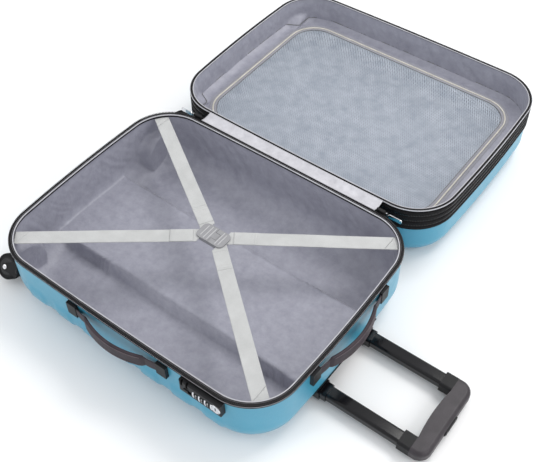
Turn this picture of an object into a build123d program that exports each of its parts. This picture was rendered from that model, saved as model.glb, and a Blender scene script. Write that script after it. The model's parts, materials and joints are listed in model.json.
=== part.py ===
from build123d import *
import math
import os

# Hard shell suitcase on four spinner wheels, lying open on its back.
# Millimetres. The origin is the centre of the back shell's resting face, +Z is up.
# +X points to the end with the telescoping handle, -X to the wheels, +Y to the lid.

# ---------------------------------------------------------------- driving dimensions
SHELL_LENGTH = 500.0
SHELL_WIDTH = 380.0
HALF_DEPTH = 108.0
PLAN_CORNER = 74.0
SIDE_BOW = 3.0
END_BOW = 7.0
EDGE_ROUND = 46.0
LID_EDGE_ROUND = 34.0
WALL = 2.6
FIT_GAP = 0.3

RIB_HEIGHT = 2.0
RIB_WIDTH = 30.0
RIB_PITCH = 54.0
RIB_COUNT = 7
RIB_TOP = 62.0

TRIM_WIDTH = 8.0
TRIM_HEIGHT = 6.0
TEETH_WIDTH = 2.6
TEETH_HEIGHT = 0.4
TEETH_INSET = 0.8
GUSSET_HEIGHT = 41.0
GUSSET_WALL = 3.0
GUSSET_RIDGES = 4
BINDING_HEIGHT = 2.5
BINDING_WIDTH = 6.0
HINGE_GAP = 19.0
HINGE_HALF_LENGTH = 164.0
HINGE_THICKNESS = 1.2

LINING_THICKNESS = 1.2
DIVIDER_DROP = 46.0
DIVIDER_THICKNESS = 1.2
MESH_HALF_LENGTH = 208.0
MESH_HALF_WIDTH = 151.0
MESH_CORNER = 44.0
ZIP_TAPE_WIDTH = 12.0

TUBE_SPREAD = 54.0
TUBE_HEIGHT = 15.5
TUBE_WALL = 1.3
TUBE_CORNER = 4.0
INNER_TUBE_WIDTH = 20.0
INNER_TUBE_DEPTH = 14.0
STAGE_STEP = 3.2
OUTER_TUBE_START = -206.0
STAGE_STICK_OUT = 6.0
HANDLE_REST_OUT = 160.0
INNER_TUBE_LENGTH = 450.0
COLLAR_LENGTH = 18.0
COLLAR_WALL = 2.4
BEZEL_INSET = 0.4
GRIP_DEPTH = 24.0
GRIP_HEIGHT = 20.0
GRIP_OVERHANG = 13.0
GRIP_CORNER = 18.0
GRIP_ROUND = 6.5
GRIP_BELLY = 3.0
BUTTON_LENGTH = 34.0
BUTTON_HEIGHT = 9.0
BUTTON_PROUD = 1.8
BUTTON_TRAVEL = 3.0

CARRY_HALF_LENGTH = 89.0
CARRY_LEVEL = 88.0
SIDE_CARRY_SHIFT = 5.0
SIDE_CARRY_LEVEL = 86.5
CARRY_GRIP_HALF = 55.0
CARRY_BOW = 17.0
CARRY_FOOT = 5.0
CARRY_GRIP_THICKNESS = 6.0
CARRY_GRIP_WIDTH = 22.0
TONGUE_THICKNESS = 2.0
TONGUE_WIDTH = 17.0
POCKET_LENGTH = 17.0
POCKET_WIDTH = 23.0
POCKET_PROUD = 4.6

WHEEL_RADIUS = 20.0
WHEEL_WIDTH = 15.0
TYRE_DEPTH = 4.5
AXLE_RADIUS = 2.5
TRAIL = 11.0
WHEEL_SIDE_INSET = 32.0
WHEEL_LEVEL = 31.4
WHEEL_REACH = 1.0
WELL_RADIUS = 35.0
WELL_WALL = 2.4
WELL_FLOOR = 26.0
KINGPIN_RADIUS = 4.0
CROWN_RADIUS = 15.0
CROWN_THICKNESS = 3.2
FORK_PLATE = 2.4
FORK_GAP = 0.8
RUNNING_GAP = 0.08

LOCK_START = 118.0
LOCK_END = 186.0
LOCK_LOW = 77.0
LOCK_HEIGHT = 24.0
LOCK_PROUD = 6.5
LOCK_BACK = 9.0
DIAL_RADIUS = 8.0
DIAL_THICKNESS = 5.2
DIAL_PITCH = 9.5
DIAL_COUNT = 3
KEY_RADIUS = 6.0
SOCKET_OFFSETS = (5.0, 13.5)
SOCKET_WIDTH = 3.2

STRAP_WIDTH = 22.5
STRAP_THICKNESS = 1.2
STRAP_REACH_X = 213.0
ANCHOR_X = 214.0
ANCHOR_Y = 152.0
STRAP_DROP = 5.5
BUCKLE_X = 5.5
BUCKLE_Y = 13.0
BUCKLE_HALF_LENGTH = 24.0
BUCKLE_WIDTH = 28.0
BUCKLE_SEAM = 0.6
ARM_ROOT_X = 13.0
ARM_ROOT_Y = 6.0
BUCKLE_THICKNESS = 7.0
BUCKLE_TONGUE = 8.0
BUCKLE_TONGUE_WIDTH = 11.0
BUCKLE_CORNER = 8.0
BUCKLE_CLEARANCE = 0.5

SLIDER_LENGTH = 14.0
SLIDER_PROUD = 5.0
SLIDER_HEIGHT = 10.0
PULL_LENGTH = 22.0
PULL_WIDTH = 7.0
PULL_THICKNESS = 1.4

# ---------------------------------------------------------------- places that follow
HALF_X = SHELL_LENGTH / 2
HALF_Y = SHELL_WIDTH / 2
LID_OFFSET = SHELL_WIDTH + HINGE_GAP
GUSSET_LOW = HALF_DEPTH - BINDING_HEIGHT - GUSSET_HEIGHT
DIVIDER_LEVEL = HALF_DEPTH - DIVIDER_DROP
LINING_OUT = RIB_HEIGHT + WALL + 0.2
LINING_IN = LINING_OUT + LINING_THICKNESS
MIDDLE_TUBE_WIDTH = INNER_TUBE_WIDTH + STAGE_STEP
MIDDLE_TUBE_DEPTH = INNER_TUBE_DEPTH + STAGE_STEP
OUTER_TUBE_WIDTH = MIDDLE_TUBE_WIDTH + STAGE_STEP
OUTER_TUBE_DEPTH = MIDDLE_TUBE_DEPTH + STAGE_STEP
OUTER_TUBE_END = HALF_X - 3.0
COLLAR_START = HALF_X + HANDLE_REST_OUT - GRIP_DEPTH - COLLAR_LENGTH
GRIP_START = COLLAR_START + COLLAR_LENGTH
GRIP_END = GRIP_START + GRIP_DEPTH
INNER_TUBE_END = GRIP_START
HUMP_HALF_WIDTH = TUBE_SPREAD + OUTER_TUBE_WIDTH / 2 + 4.0
HUMP_TOP = TUBE_HEIGHT + OUTER_TUBE_DEPTH / 2 + 2.0
AXLE_X = -HALF_X - WHEEL_REACH
WELL_FLOOR_X = -HALF_X + WELL_FLOOR
WHEEL_Y = HALF_Y - WHEEL_SIDE_INSET
STRAP_LEVEL = HALF_DEPTH - STRAP_DROP
BUCKLE_LOW = STRAP_LEVEL - BUCKLE_THICKNESS / 2

os.makedirs("parts", exist_ok=True)


def save(name, *solids):
    """Write the solids of one node, as one shape or as a group."""
    shapes = []
    for solid in solids:
        shapes.extend(solid.solids())
    shape = shapes[0] if len(shapes) == 1 else Compound(children=shapes)
    export_step(shape, f"parts/{name}.step")


def span_box(x_span, y_span, z_span):
    """A box from its low and high value along each axis."""
    size = [high - low for low, high in (x_span, y_span, z_span)]
    middle = [(high + low) / 2 for low, high in (x_span, y_span, z_span)]
    return Pos(*middle) * Box(*size)


def to_lid(shape):
    """Lid pieces are drawn like back pieces and set beside them, open flat."""
    return Pos(0, LID_OFFSET, 0) * shape


# ---------------------------------------------------------------- shell outline
def plan(inset):
    """Outline seen from above: four shallow arcs with rounded corners."""
    half_x = HALF_X - inset
    half_y = HALF_Y - inset
    corner_x = half_x - END_BOW
    corner_y = half_y - SIDE_BOW
    with BuildSketch() as sketch:
        with BuildLine():
            ThreePointArc((-corner_x, -corner_y), (0, -half_y), (corner_x, -corner_y))
            ThreePointArc((corner_x, -corner_y), (half_x, 0), (corner_x, corner_y))
            ThreePointArc((corner_x, corner_y), (0, half_y), (-corner_x, corner_y))
            ThreePointArc((-corner_x, corner_y), (-half_x, 0), (-corner_x, -corner_y))
        make_face()
        fillet(sketch.vertices(), PLAN_CORNER - inset)
    return sketch.sketch


def block(inset, low, high, edge_round):
    """A solid of the outline with its bottom edge rounded."""
    solid = Pos(0, 0, low) * extrude(plan(inset), high - low)
    return fillet(solid.edges().group_by(Axis.Z)[0], edge_round)


def ring(outer_inset, inner_inset, low, high):
    """A flat ring that follows the outline."""
    return Pos(0, 0, low) * extrude(plan(outer_inset) - plan(inner_inset), high - low)


def corner_centre():
    """Centre of the plan corner's arc, where the two bowed sides meet."""
    corner_x = HALF_X - END_BOW
    corner_y = HALF_Y - SIDE_BOW
    side_radius = (corner_x**2 + SIDE_BOW**2) / (2 * SIDE_BOW)
    end_radius = (corner_y**2 + END_BOW**2) / (2 * END_BOW)
    side_centre = Vector(0, HALF_Y - side_radius)
    end_centre = Vector(HALF_X - end_radius, 0)
    reach_a = side_radius - PLAN_CORNER
    reach_b = end_radius - PLAN_CORNER
    across = end_centre - side_centre
    apart = across.length
    along = (reach_a**2 - reach_b**2 + apart**2) / (2 * apart)
    height = math.sqrt(reach_a**2 - along**2)
    unit = across / apart
    normal = Vector(-unit.Y, unit.X)
    first = side_centre + unit * along + normal * height
    second = side_centre + unit * along - normal * height
    return first if first.X > second.X else second


CORNER = corner_centre()


# ---------------------------------------------------------------- wheels
def well(radius, floor_x):
    """The round recess for a wheel, at both lower corners of the wheel end."""
    depth = 80.0
    cylinder = Rot(0, 90, 0) * Cylinder(radius, depth)
    shapes = [Pos(floor_x - depth / 2, side * WHEEL_Y, WHEEL_LEVEL) * cylinder for side in (-1, 1)]
    return shapes[0] + shapes[1]


def wheel_housings(envelope):
    """Cups that line the recesses, trimmed to the outer surface of the shell."""
    outer = well(WELL_RADIUS + WELL_WALL, WELL_FLOOR_X + WELL_WALL)
    cups = (envelope & outer) - well(WELL_RADIUS, WELL_FLOOR_X)
    return cups


def kingpins():
    """Fixed upright pins that the forks turn on, each with a retaining head."""
    pins = []
    crown_low = WELL_FLOOR_X - RUNNING_GAP * 10 - CROWN_THICKNESS
    head_thickness = 1.6
    head_top = crown_low - RUNNING_GAP * 2
    for side in (-1, 1):
        shank_length = WELL_FLOOR_X - head_top
        shank = Cylinder(KINGPIN_RADIUS, shank_length)
        shank = Pos(WELL_FLOOR_X - shank_length / 2, 0, 0) * Rot(0, 90, 0) * shank
        head = Cylinder(KINGPIN_RADIUS + 2, head_thickness)
        head = Pos(head_top - head_thickness / 2, 0, 0) * Rot(0, 90, 0) * head
        pins.append(Pos(0, side * WHEEL_Y, WHEEL_LEVEL) * (shank + head))
    return pins


def fork():
    """Local frame: kingpin on Z, well floor at 0, axle along Y, trail along +X."""
    crown_top = -RUNNING_GAP * 10
    crown_mid = crown_top - CROWN_THICKNESS / 2
    crown_low = crown_top - CROWN_THICKNESS
    axle_z = AXLE_X - WELL_FLOOR_X
    inner = WHEEL_WIDTH / 2 + FORK_GAP
    plate_mid = inner + FORK_PLATE / 2
    body = Pos(0, 0, crown_mid) * Cylinder(CROWN_RADIUS, CROWN_THICKNESS)
    axle_boss = 6.0
    for side in (-1, 1):
        with BuildSketch(Plane.XZ) as profile:
            with BuildLine():
                Polyline(
                    (-CROWN_RADIUS * 0.55, crown_top),
                    (TRAIL + axle_boss, crown_top),
                    (TRAIL + axle_boss, axle_z),
                    (TRAIL - axle_boss, axle_z),
                    (-CROWN_RADIUS * 0.55, crown_low - 4),
                    close=True,
                )
            make_face()
            with Locations((TRAIL, axle_z)):
                Circle(axle_boss)
        plate = extrude(profile.sketch, FORK_PLATE / 2, both=True)
        body = body + Pos(0, side * plate_mid, 0) * plate
    body = body - Cylinder(KINGPIN_RADIUS + RUNNING_GAP, 20)
    bore = Rot(90, 0, 0) * Cylinder(AXLE_RADIUS, 60)
    return body - Pos(TRAIL, 0, axle_z) * bore


def fork_axle():
    """Axle pin with a low head on each side, pressed into the fork."""
    axle_z = AXLE_X - WELL_FLOOR_X
    half_span = WHEEL_WIDTH / 2 + FORK_GAP + FORK_PLATE
    head = 0.8
    pin = Cylinder(AXLE_RADIUS, 2 * half_span)
    heads = [Pos(0, 0, side * (half_span + head / 2)) * Cylinder(AXLE_RADIUS + 1.2, head) for side in (-1, 1)]
    return Pos(TRAIL, 0, axle_z) * Rot(90, 0, 0) * (pin + heads[0] + heads[1])


def wheel_pieces():
    """Hub and tyre about the local axle, seen along Y."""
    axle_z = AXLE_X - WELL_FLOOR_X
    rim_radius = WHEEL_RADIUS - TYRE_DEPTH
    hub = Cylinder(rim_radius, WHEEL_WIDTH - 1.5)
    dish = Cylinder(rim_radius - 2.5, 2.0) - Cylinder(AXLE_RADIUS + 3, 2.0)
    for side in (-1, 1):
        hub = hub - Pos(0, 0, side * (WHEEL_WIDTH - 1.5) / 2) * dish
    hub = hub - Cylinder(AXLE_RADIUS + RUNNING_GAP, WHEEL_WIDTH + 2)
    tyre = Cylinder(WHEEL_RADIUS, WHEEL_WIDTH)
    tyre = fillet(tyre.edges().filter_by(GeomType.CIRCLE), 3.0)
    tyre = tyre - Cylinder(rim_radius, WHEEL_WIDTH + 2)
    turn = Pos(TRAIL, 0, axle_z) * Rot(90, 0, 0)
    return turn * hub, turn * tyre


def make_wheels():
    """Four spinners. Each rests at its own swivel angle, as casters do."""
    fork_shape = fork()
    axle_shape = fork_axle()
    hub, tyre = wheel_pieces()
    corners = {
        "back_near": (-WHEEL_Y, 230.0),
        "back_far": (WHEEL_Y, 245.0),
        "front_near": (LID_OFFSET - WHEEL_Y, 205.0),
        "front_far": (LID_OFFSET + WHEEL_Y, 285.0),
    }
    for name, (y, angle) in corners.items():
        turn = math.radians(angle)
        trail_way = (0, math.cos(turn), math.sin(turn))
        seat = Plane(origin=(WELL_FLOOR_X, y, WHEEL_LEVEL), x_dir=trail_way, z_dir=(1, 0, 0))
        save(f"spinner_fork_{name}", seat * fork_shape, seat * axle_shape)
        save(f"spinner_hub_{name}", seat * hub)
        save(f"spinner_tyre_{name}", seat * tyre)


# ---------------------------------------------------------------- telescoping handle
def tube_section(width, depth, corner):
    """A rounded rectangle across X, centred on the tube's own axis."""
    return Plane.YZ * RectangleRounded(width, depth, corner)


def tube_pair(width, depth, start, end, wall):
    """Two rounded rectangular tubes along X, one on each side of the middle."""
    outer = extrude(tube_section(width, depth, TUBE_CORNER), end - start)
    inner_section = tube_section(width - 2 * wall, depth - 2 * wall, TUBE_CORNER - wall)
    tube = outer - extrude(inner_section, end - start)
    return [Pos(start, side * TUBE_SPREAD, TUBE_HEIGHT) * tube for side in (-1, 1)]


def tube_passage(clearance):
    """Openings for the outer tubes through the end of the back shell."""
    section = tube_section(
        OUTER_TUBE_WIDTH + 2 * clearance, OUTER_TUBE_DEPTH + 2 * clearance, TUBE_CORNER + clearance
    )
    passage = extrude(section, 80)
    start = HALF_X - 50
    shapes = [Pos(start, side * TUBE_SPREAD, TUBE_HEIGHT) * passage for side in (-1, 1)]
    return shapes[0] + shapes[1]


def handle_bezel():
    """A thin plate on the end of the shell around both tube openings."""
    shell_round = EDGE_ROUND - RIB_HEIGHT
    skin = block(BEZEL_INSET, BEZEL_INSET, HALF_DEPTH, shell_round + RIB_HEIGHT - BEZEL_INSET)
    skin = skin - block(RIB_HEIGHT, RIB_HEIGHT, HALF_DEPTH, shell_round)
    half = HUMP_HALF_WIDTH + 3
    window = span_box((HALF_X - 46, HALF_X), (-half, half), (RIB_HEIGHT + 0.6, HUMP_TOP + 8))
    return (skin & window) - tube_passage(0.0)


def tube_foot():
    """The bracket that holds the lower ends of the outer tubes to the back shell."""
    start = OUTER_TUBE_START - 4
    base = span_box(
        (start, start + 16),
        (-HUMP_HALF_WIDTH + 2, HUMP_HALF_WIDTH - 2),
        (RIB_HEIGHT + WALL, TUBE_HEIGHT + OUTER_TUBE_DEPTH / 2 + 1.2),
    )
    for side in (-1, 1):
        section = tube_section(OUTER_TUBE_WIDTH, OUTER_TUBE_DEPTH, TUBE_CORNER)
        socket = Pos(OUTER_TUBE_START, side * TUBE_SPREAD, TUBE_HEIGHT) * extrude(section, 40)
        base = base - socket
    return base & block(RIB_HEIGHT + WALL, RIB_HEIGHT + WALL, HALF_DEPTH, EDGE_ROUND - WALL)


def grip():
    """The bar of the handle, with rounded ends and a fuller middle."""
    half = TUBE_SPREAD + GRIP_OVERHANG
    with BuildSketch() as sketch:
        with BuildLine():
            Polyline((GRIP_START, half), (GRIP_END, half), (GRIP_END, -half), (GRIP_START, -half))
            Line((GRIP_START, -half), (GRIP_START, -half + 2 * GRIP_OVERHANG))
            ThreePointArc(
                (GRIP_START, -half + 2 * GRIP_OVERHANG),
                (GRIP_START - GRIP_BELLY, 0),
                (GRIP_START, half - 2 * GRIP_OVERHANG),
            )
            Line((GRIP_START, half - 2 * GRIP_OVERHANG), (GRIP_START, half))
        make_face()
        fillet(sketch.vertices().group_by(Axis.X)[-1], GRIP_CORNER)
    bar = Pos(0, 0, TUBE_HEIGHT - GRIP_HEIGHT / 2) * extrude(sketch.sketch, GRIP_HEIGHT)
    faces = bar.faces().filter_by(Axis.Z)
    rims = [edge for face in faces for edge in face.edges() if edge.center().X > GRIP_START + 1]
    return fillet(rims, GRIP_ROUND)


def button_slot(length, height, start, depth):
    """A slot shape across X, centred on the grip."""
    return Pos(start, 0, TUBE_HEIGHT) * extrude(Plane.YZ * SlotOverall(length, height), depth)


def make_handle():
    outer = tube_pair(OUTER_TUBE_WIDTH, OUTER_TUBE_DEPTH, OUTER_TUBE_START, OUTER_TUBE_END, TUBE_WALL)
    save("handle_outer_tubes", *outer)
    middle_start = OUTER_TUBE_START + 6
    middle_end = HALF_X + STAGE_STICK_OUT
    middle = tube_pair(MIDDLE_TUBE_WIDTH, MIDDLE_TUBE_DEPTH, middle_start, middle_end, TUBE_WALL)
    save("handle_middle_tubes", *middle)
    inner_start = INNER_TUBE_END - INNER_TUBE_LENGTH
    inner = tube_pair(INNER_TUBE_WIDTH, INNER_TUBE_DEPTH, inner_start, INNER_TUBE_END, TUBE_WALL)
    save("handle_inner_tubes", *inner)
    collar_width = INNER_TUBE_WIDTH + 2 * COLLAR_WALL
    collar_depth = INNER_TUBE_DEPTH + 2 * COLLAR_WALL
    collars = tube_pair(collar_width, collar_depth, COLLAR_START, GRIP_START, COLLAR_WALL)
    save("grip_collars", *collars)

    bar = grip()
    pocket_start = GRIP_END - 8
    bar = bar - button_slot(BUTTON_LENGTH + 1, BUTTON_HEIGHT + 1, pocket_start, 20)
    link_low = GRIP_START + 5
    link_high = pocket_start + 1.0
    channel_half = TUBE_SPREAD + 4
    bar = bar - span_box(
        (link_low, link_high), (-channel_half, channel_half), (TUBE_HEIGHT - 4, TUBE_HEIGHT + 4)
    )
    for side in (-1, 1):
        guide = Rot(0, 90, 0) * Cylinder(3.0, 20)
        bar = bar - Pos(GRIP_START, side * TUBE_SPREAD, TUBE_HEIGHT) * guide
    save("handle_grip", bar)

    button_start = pocket_start + BUTTON_TRAVEL + 0.2
    button_depth = GRIP_END + BUTTON_PROUD - button_start
    button = button_slot(BUTTON_LENGTH, BUTTON_HEIGHT, button_start, button_depth)
    outer_edges = button.edges().group_by(Axis.X)[-1]
    save("handle_button", fillet(outer_edges, 1.4))

    bar_low = link_low + BUTTON_TRAVEL + 0.4
    rod_start = inner_start + 8
    linkage = span_box(
        (bar_low, link_high - 0.4), (-TUBE_SPREAD - 3, TUBE_SPREAD + 3), (TUBE_HEIGHT - 3, TUBE_HEIGHT + 3)
    )
    neck_half = BUTTON_LENGTH / 2 - 4
    linkage = linkage + span_box(
        (link_high - 1, button_start), (-neck_half, neck_half), (TUBE_HEIGHT - 3, TUBE_HEIGHT + 3)
    )
    for side in (-1, 1):
        rod = Rot(0, 90, 0) * Cylinder(2.2, bar_low + 1 - rod_start)
        linkage = linkage + Pos((bar_low + 1 + rod_start) / 2, side * TUBE_SPREAD, TUBE_HEIGHT) * rod
    save("handle_release_rods", linkage)


# ---------------------------------------------------------------- carry handles
def carry_grip():
    """Local frame: length along X, outward along +Y, width along Z."""
    half = CARRY_GRIP_HALF
    low = CARRY_FOOT
    high = CARRY_BOW
    thick = CARRY_GRIP_THICKNESS
    with BuildSketch() as sketch:
        with BuildLine():
            ThreePointArc((-half, low - thick / 2), (0, high - thick / 2), (half, low - thick / 2))
            Line((half, low - thick / 2), (half, low + thick / 2))
            ThreePointArc((half, low + thick / 2), (0, high + thick / 2), (-half, low + thick / 2))
            Line((-half, low + thick / 2), (-half, low - thick / 2))
        make_face()
    strip = extrude(sketch.sketch, CARRY_GRIP_WIDTH / 2, both=True)
    long_edges = [edge for edge in strip.edges() if edge.geom_type == GeomType.CIRCLE]
    return fillet(long_edges, 2.2)


def carry_tongues():
    """Flat ends of the strap, from beside the grip into the pockets."""
    start = CARRY_GRIP_HALF + 1.0
    end = CARRY_HALF_LENGTH - 4.0
    low = 1.2
    pieces = []
    for side in (-1, 1):
        middle = side * (start + end) / 2
        strip = Box(end - start, TONGUE_THICKNESS, TONGUE_WIDTH)
        pieces.append(Pos(middle, low + TONGUE_THICKNESS / 2, 0) * strip)
    return pieces


def carry_pockets(depth_behind):
    """Moulded pockets that hold the tongues, before they are trimmed to the shell."""
    pieces = []
    slot_low = 1.2 - FIT_GAP
    slot_high = 1.2 + TONGUE_THICKNESS + FIT_GAP
    for side in (-1, 1):
        middle = side * (CARRY_HALF_LENGTH - POCKET_LENGTH / 2)
        height = POCKET_PROUD + depth_behind
        cover = Pos(middle, (POCKET_PROUD - depth_behind) / 2, 0) * Box(POCKET_LENGTH, height, POCKET_WIDTH)
        slot_middle = middle - side * 3.0
        slot = Box(POCKET_LENGTH, slot_high - slot_low, TONGUE_WIDTH + 2 * FIT_GAP)
        cover = cover - Pos(slot_middle, (slot_low + slot_high) / 2, 0) * slot
        pieces.append(cover)
    return pieces


def side_seat(shape):
    """From the carry handle's own frame to the long side of the back shell."""
    return Pos(SIDE_CARRY_SHIFT, -HALF_Y + RIB_HEIGHT - 0.5, SIDE_CARRY_LEVEL) * Rot(0, 0, 180) * shape


def end_seat(shape):
    """From the carry handle's own frame to the upper end of the back shell."""
    return Pos(HALF_X - RIB_HEIGHT - 0.5, 0, CARRY_LEVEL) * Rot(0, 0, -90) * shape


def make_carry_handles(shell_envelope):
    pockets = []
    for name, seat in (("top", end_seat), ("side", side_seat)):
        pockets.extend(seat(piece) - shell_envelope for piece in carry_pockets(6.0))
        tongues = [seat(piece) - shell_envelope for piece in carry_tongues()]
        save(f"{name}_handle_tongues", *tongues)
        save(f"{name}_handle_grip", seat(carry_grip()))
    save("carry_handle_pockets", *pockets)


# ---------------------------------------------------------------- lock
LOCK_FACE = -HALF_Y + RIB_HEIGHT - LOCK_PROUD
LOCK_INSIDE = -HALF_Y + RIB_HEIGHT + LOCK_BACK
LOCK_MIDDLE = LOCK_LOW + LOCK_HEIGHT / 2
DIAL_X = LOCK_START + 29.0
DIAL_Y = LOCK_FACE + DIAL_RADIUS - 1.6
KEY_X = LOCK_END - 8.0
RELEASE_X = LOCK_START + 14.5
DIAL_LEVEL = LOCK_LOW + 11.0


def lock_block(margin):
    """The volume of the lock body, with a margin all round."""
    return span_box(
        (LOCK_START - margin, LOCK_END + margin),
        (LOCK_FACE, LOCK_INSIDE + margin),
        (LOCK_LOW - margin, LOCK_LOW + LOCK_HEIGHT + margin),
    )


def dial_positions():
    return [DIAL_X + number * DIAL_PITCH for number in range(DIAL_COUNT)]


def lock_body():
    body = lock_block(0.0)
    face_edges = body.faces().sort_by(Axis.Y)[0].edges()
    body = fillet(face_edges, 2.0)
    for x in dial_positions():
        room = Rot(0, 90, 0) * Cylinder(DIAL_RADIUS + 0.4, DIAL_THICKNESS + 0.8)
        body = body - Pos(x, DIAL_Y, DIAL_LEVEL) * room
    shaft_length = (DIAL_COUNT - 1) * DIAL_PITCH + DIAL_THICKNESS + 2
    shaft = Rot(0, 90, 0) * Cylinder(1.5, shaft_length)
    body = body + Pos(DIAL_X + (DIAL_COUNT - 1) * DIAL_PITCH / 2, DIAL_Y, DIAL_LEVEL) * shaft
    key_room = Rot(90, 0, 0) * Cylinder(KEY_RADIUS + RUNNING_GAP, 10)
    body = body - Pos(KEY_X, LOCK_FACE + 5, LOCK_MIDDLE) * key_room
    release_room = span_box(
        (RELEASE_X - 6.3, RELEASE_X + 6.3), (LOCK_FACE - 1, LOCK_FACE + 3), (LOCK_LOW + 5, LOCK_LOW + 12)
    )
    body = body - release_room
    for offset in SOCKET_OFFSETS:
        socket = span_box(
            (LOCK_START + offset - SOCKET_WIDTH / 2, LOCK_START + offset + SOCKET_WIDTH / 2),
            (LOCK_FACE - 1, LOCK_FACE + 4.5),
            (LOCK_LOW + 15, LOCK_LOW + LOCK_HEIGHT + 1),
        )
        body = body - socket
    return body


def lock_dial():
    """A number wheel with ten finger flats on its rim."""
    wheel = Cylinder(DIAL_RADIUS, DIAL_THICKNESS)
    for number in range(10):
        groove = Rot(0, 0, 36 * number) * Pos(DIAL_RADIUS + 0.5, 0, 0) * Cylinder(1.0, DIAL_THICKNESS)
        wheel = wheel - groove
    wheel = wheel - Cylinder(1.5 + RUNNING_GAP, DIAL_THICKNESS)
    return Rot(0, 90, 0) * wheel


def make_lock():
    save("lock_body", lock_body())
    for number, x in enumerate(dial_positions(), start=1):
        save(f"lock_dial_{number}", Pos(x, DIAL_Y, DIAL_LEVEL) * lock_dial())
    key = Cylinder(KEY_RADIUS, 10.4) - Pos(0, 0, 4.2) * Box(1.6, 7.0, 4.0)
    save("lock_key_cylinder", Pos(KEY_X, LOCK_FACE + 4.8, LOCK_MIDDLE) * Rot(90, 0, 0) * key)
    release = span_box(
        (RELEASE_X - 6.0, RELEASE_X + 1.5), (LOCK_FACE - 1.4, LOCK_FACE + 2.7), (LOCK_LOW + 5.3, LOCK_LOW + 11.7)
    )
    save("lock_release", release)


# ---------------------------------------------------------------- packing straps
def strap_arm(side_x, side_y, past_root, past_anchor, width):
    """A flat strip of webbing from inside the buckle to one corner, and how far past each."""
    root = Vector(BUCKLE_X + side_x * ARM_ROOT_X, BUCKLE_Y + side_y * ARM_ROOT_Y)
    reach = Vector(side_x * ANCHOR_X, side_y * ANCHOR_Y) - root
    start, end = -past_root, reach.length + past_anchor
    strip = Pos((start + end) / 2, 0, 0) * Box(end - start, width, STRAP_THICKNESS)
    angle = math.degrees(math.atan2(reach.Y, reach.X))
    return Pos(root.X, root.Y, STRAP_LEVEL) * Rot(0, 0, angle) * strip


def make_straps():
    clear_inside = extrude(plan(TRIM_WIDTH + 1.0), HALF_DEPTH)
    for name, side in (("left", -1), ("right", 1)):
        arms = strap_arm(side, 1, 0, 10, STRAP_WIDTH) + strap_arm(side, -1, 0, 10, STRAP_WIDTH)
        low, high = sorted((BUCKLE_X + side * BUCKLE_HALF_LENGTH, side * STRAP_REACH_X))
        arms = arms & span_box((low, high), (-HALF_Y, HALF_Y), (0, HALF_DEPTH))
        save(f"strap_{name}", arms & clear_inside)
    inside = extrude(plan(TRIM_WIDTH), HALF_DEPTH)
    anchors = []
    for side_x in (-1, 1):
        low, high = sorted((side_x * (STRAP_REACH_X + 2.0), side_x * HALF_X))
        window = span_box((low, high), (-HALF_Y, HALF_Y), (0, HALF_DEPTH))
        for side_y in (-1, 1):
            tab = strap_arm(side_x, side_y, -100, 60, STRAP_WIDTH + 1)
            anchors.append(tab & window & inside)
    save("strap_anchors", *anchors)


def make_buckle():
    """Two halves. The left one's tongue drops into a through notch of the right one."""
    half = BUCKLE_HALF_LENGTH
    gap = BUCKLE_SEAM / 2
    half_width = BUCKLE_WIDTH / 2
    heights = (BUCKLE_LOW, BUCKLE_LOW + BUCKLE_THICKNESS)
    left = span_box((-half, -gap), (-half_width, half_width), heights)
    right = span_box((gap, half), (-half_width, half_width), heights)
    left = fillet(left.edges().filter_by(Axis.Z).group_by(Axis.X)[0], BUCKLE_CORNER)
    right = fillet(right.edges().filter_by(Axis.Z).group_by(Axis.X)[-1], BUCKLE_CORNER)
    half_tongue = BUCKLE_TONGUE_WIDTH / 2
    tongue = span_box((-gap - 0.01, BUCKLE_TONGUE), (-half_tongue, half_tongue), heights)
    notch_half = half_tongue + BUCKLE_CLEARANCE
    notch_end = BUCKLE_TONGUE + BUCKLE_CLEARANCE
    notch = span_box((0, notch_end), (-notch_half, notch_half), (BUCKLE_LOW - 1, heights[1] + 1))
    seat = Pos(BUCKLE_X, BUCKLE_Y, 0)
    save("buckle_left", seat * (left + tongue))
    save("buckle_right", seat * (right - notch))


# ---------------------------------------------------------------- zipper sliders
SLIDER_LEVEL = HALF_DEPTH - 1.0


def slider_body():
    """Slider outside the rim: length along X, outward along +Y, level at 0."""
    body = Pos(0, SLIDER_PROUD / 2, 0) * Box(SLIDER_LENGTH, SLIDER_PROUD - FIT_GAP, SLIDER_HEIGHT)
    body = fillet(body.edges().filter_by(Axis.Z), 1.6)
    lug_start = SLIDER_LENGTH / 2 - 1
    lug = Pos(lug_start + 2.5, SLIDER_PROUD * 0.55, 0) * Box(5.0, 3.0, SLIDER_HEIGHT - 3)
    pin_room = Cylinder(1.0 + 0.2, SLIDER_HEIGHT + 2)
    tab_room = Box(4.2, 4.0, PULL_THICKNESS * 2.5)
    body = body + lug
    body = body - Pos(lug_start + 3.2, SLIDER_PROUD * 0.55, 0) * pin_room
    return body - Pos(lug_start + 3.6, SLIDER_PROUD * 0.55, 0) * tab_room


def pull_tab():
    """Pull tab on its pin, lying along the rim beyond the slider."""
    pin_x = SLIDER_LENGTH / 2 - 1 + 3.2
    pin = Pos(pin_x, SLIDER_PROUD * 0.55, 0) * Cylinder(1.0, SLIDER_HEIGHT - 3.4)
    neck = Pos(pin_x + 2.0, SLIDER_PROUD * 0.55, 0) * Box(4.0, PULL_THICKNESS, 2.4)
    blade_start = pin_x + 3.5
    blade = Box(PULL_LENGTH, PULL_THICKNESS, PULL_WIDTH)
    blade = fillet(blade.edges().filter_by(Axis.Y), 2.4)
    blade = Pos(blade_start + PULL_LENGTH / 2, SLIDER_PROUD * 0.55, 0) * blade
    return pin + neck + blade


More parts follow.
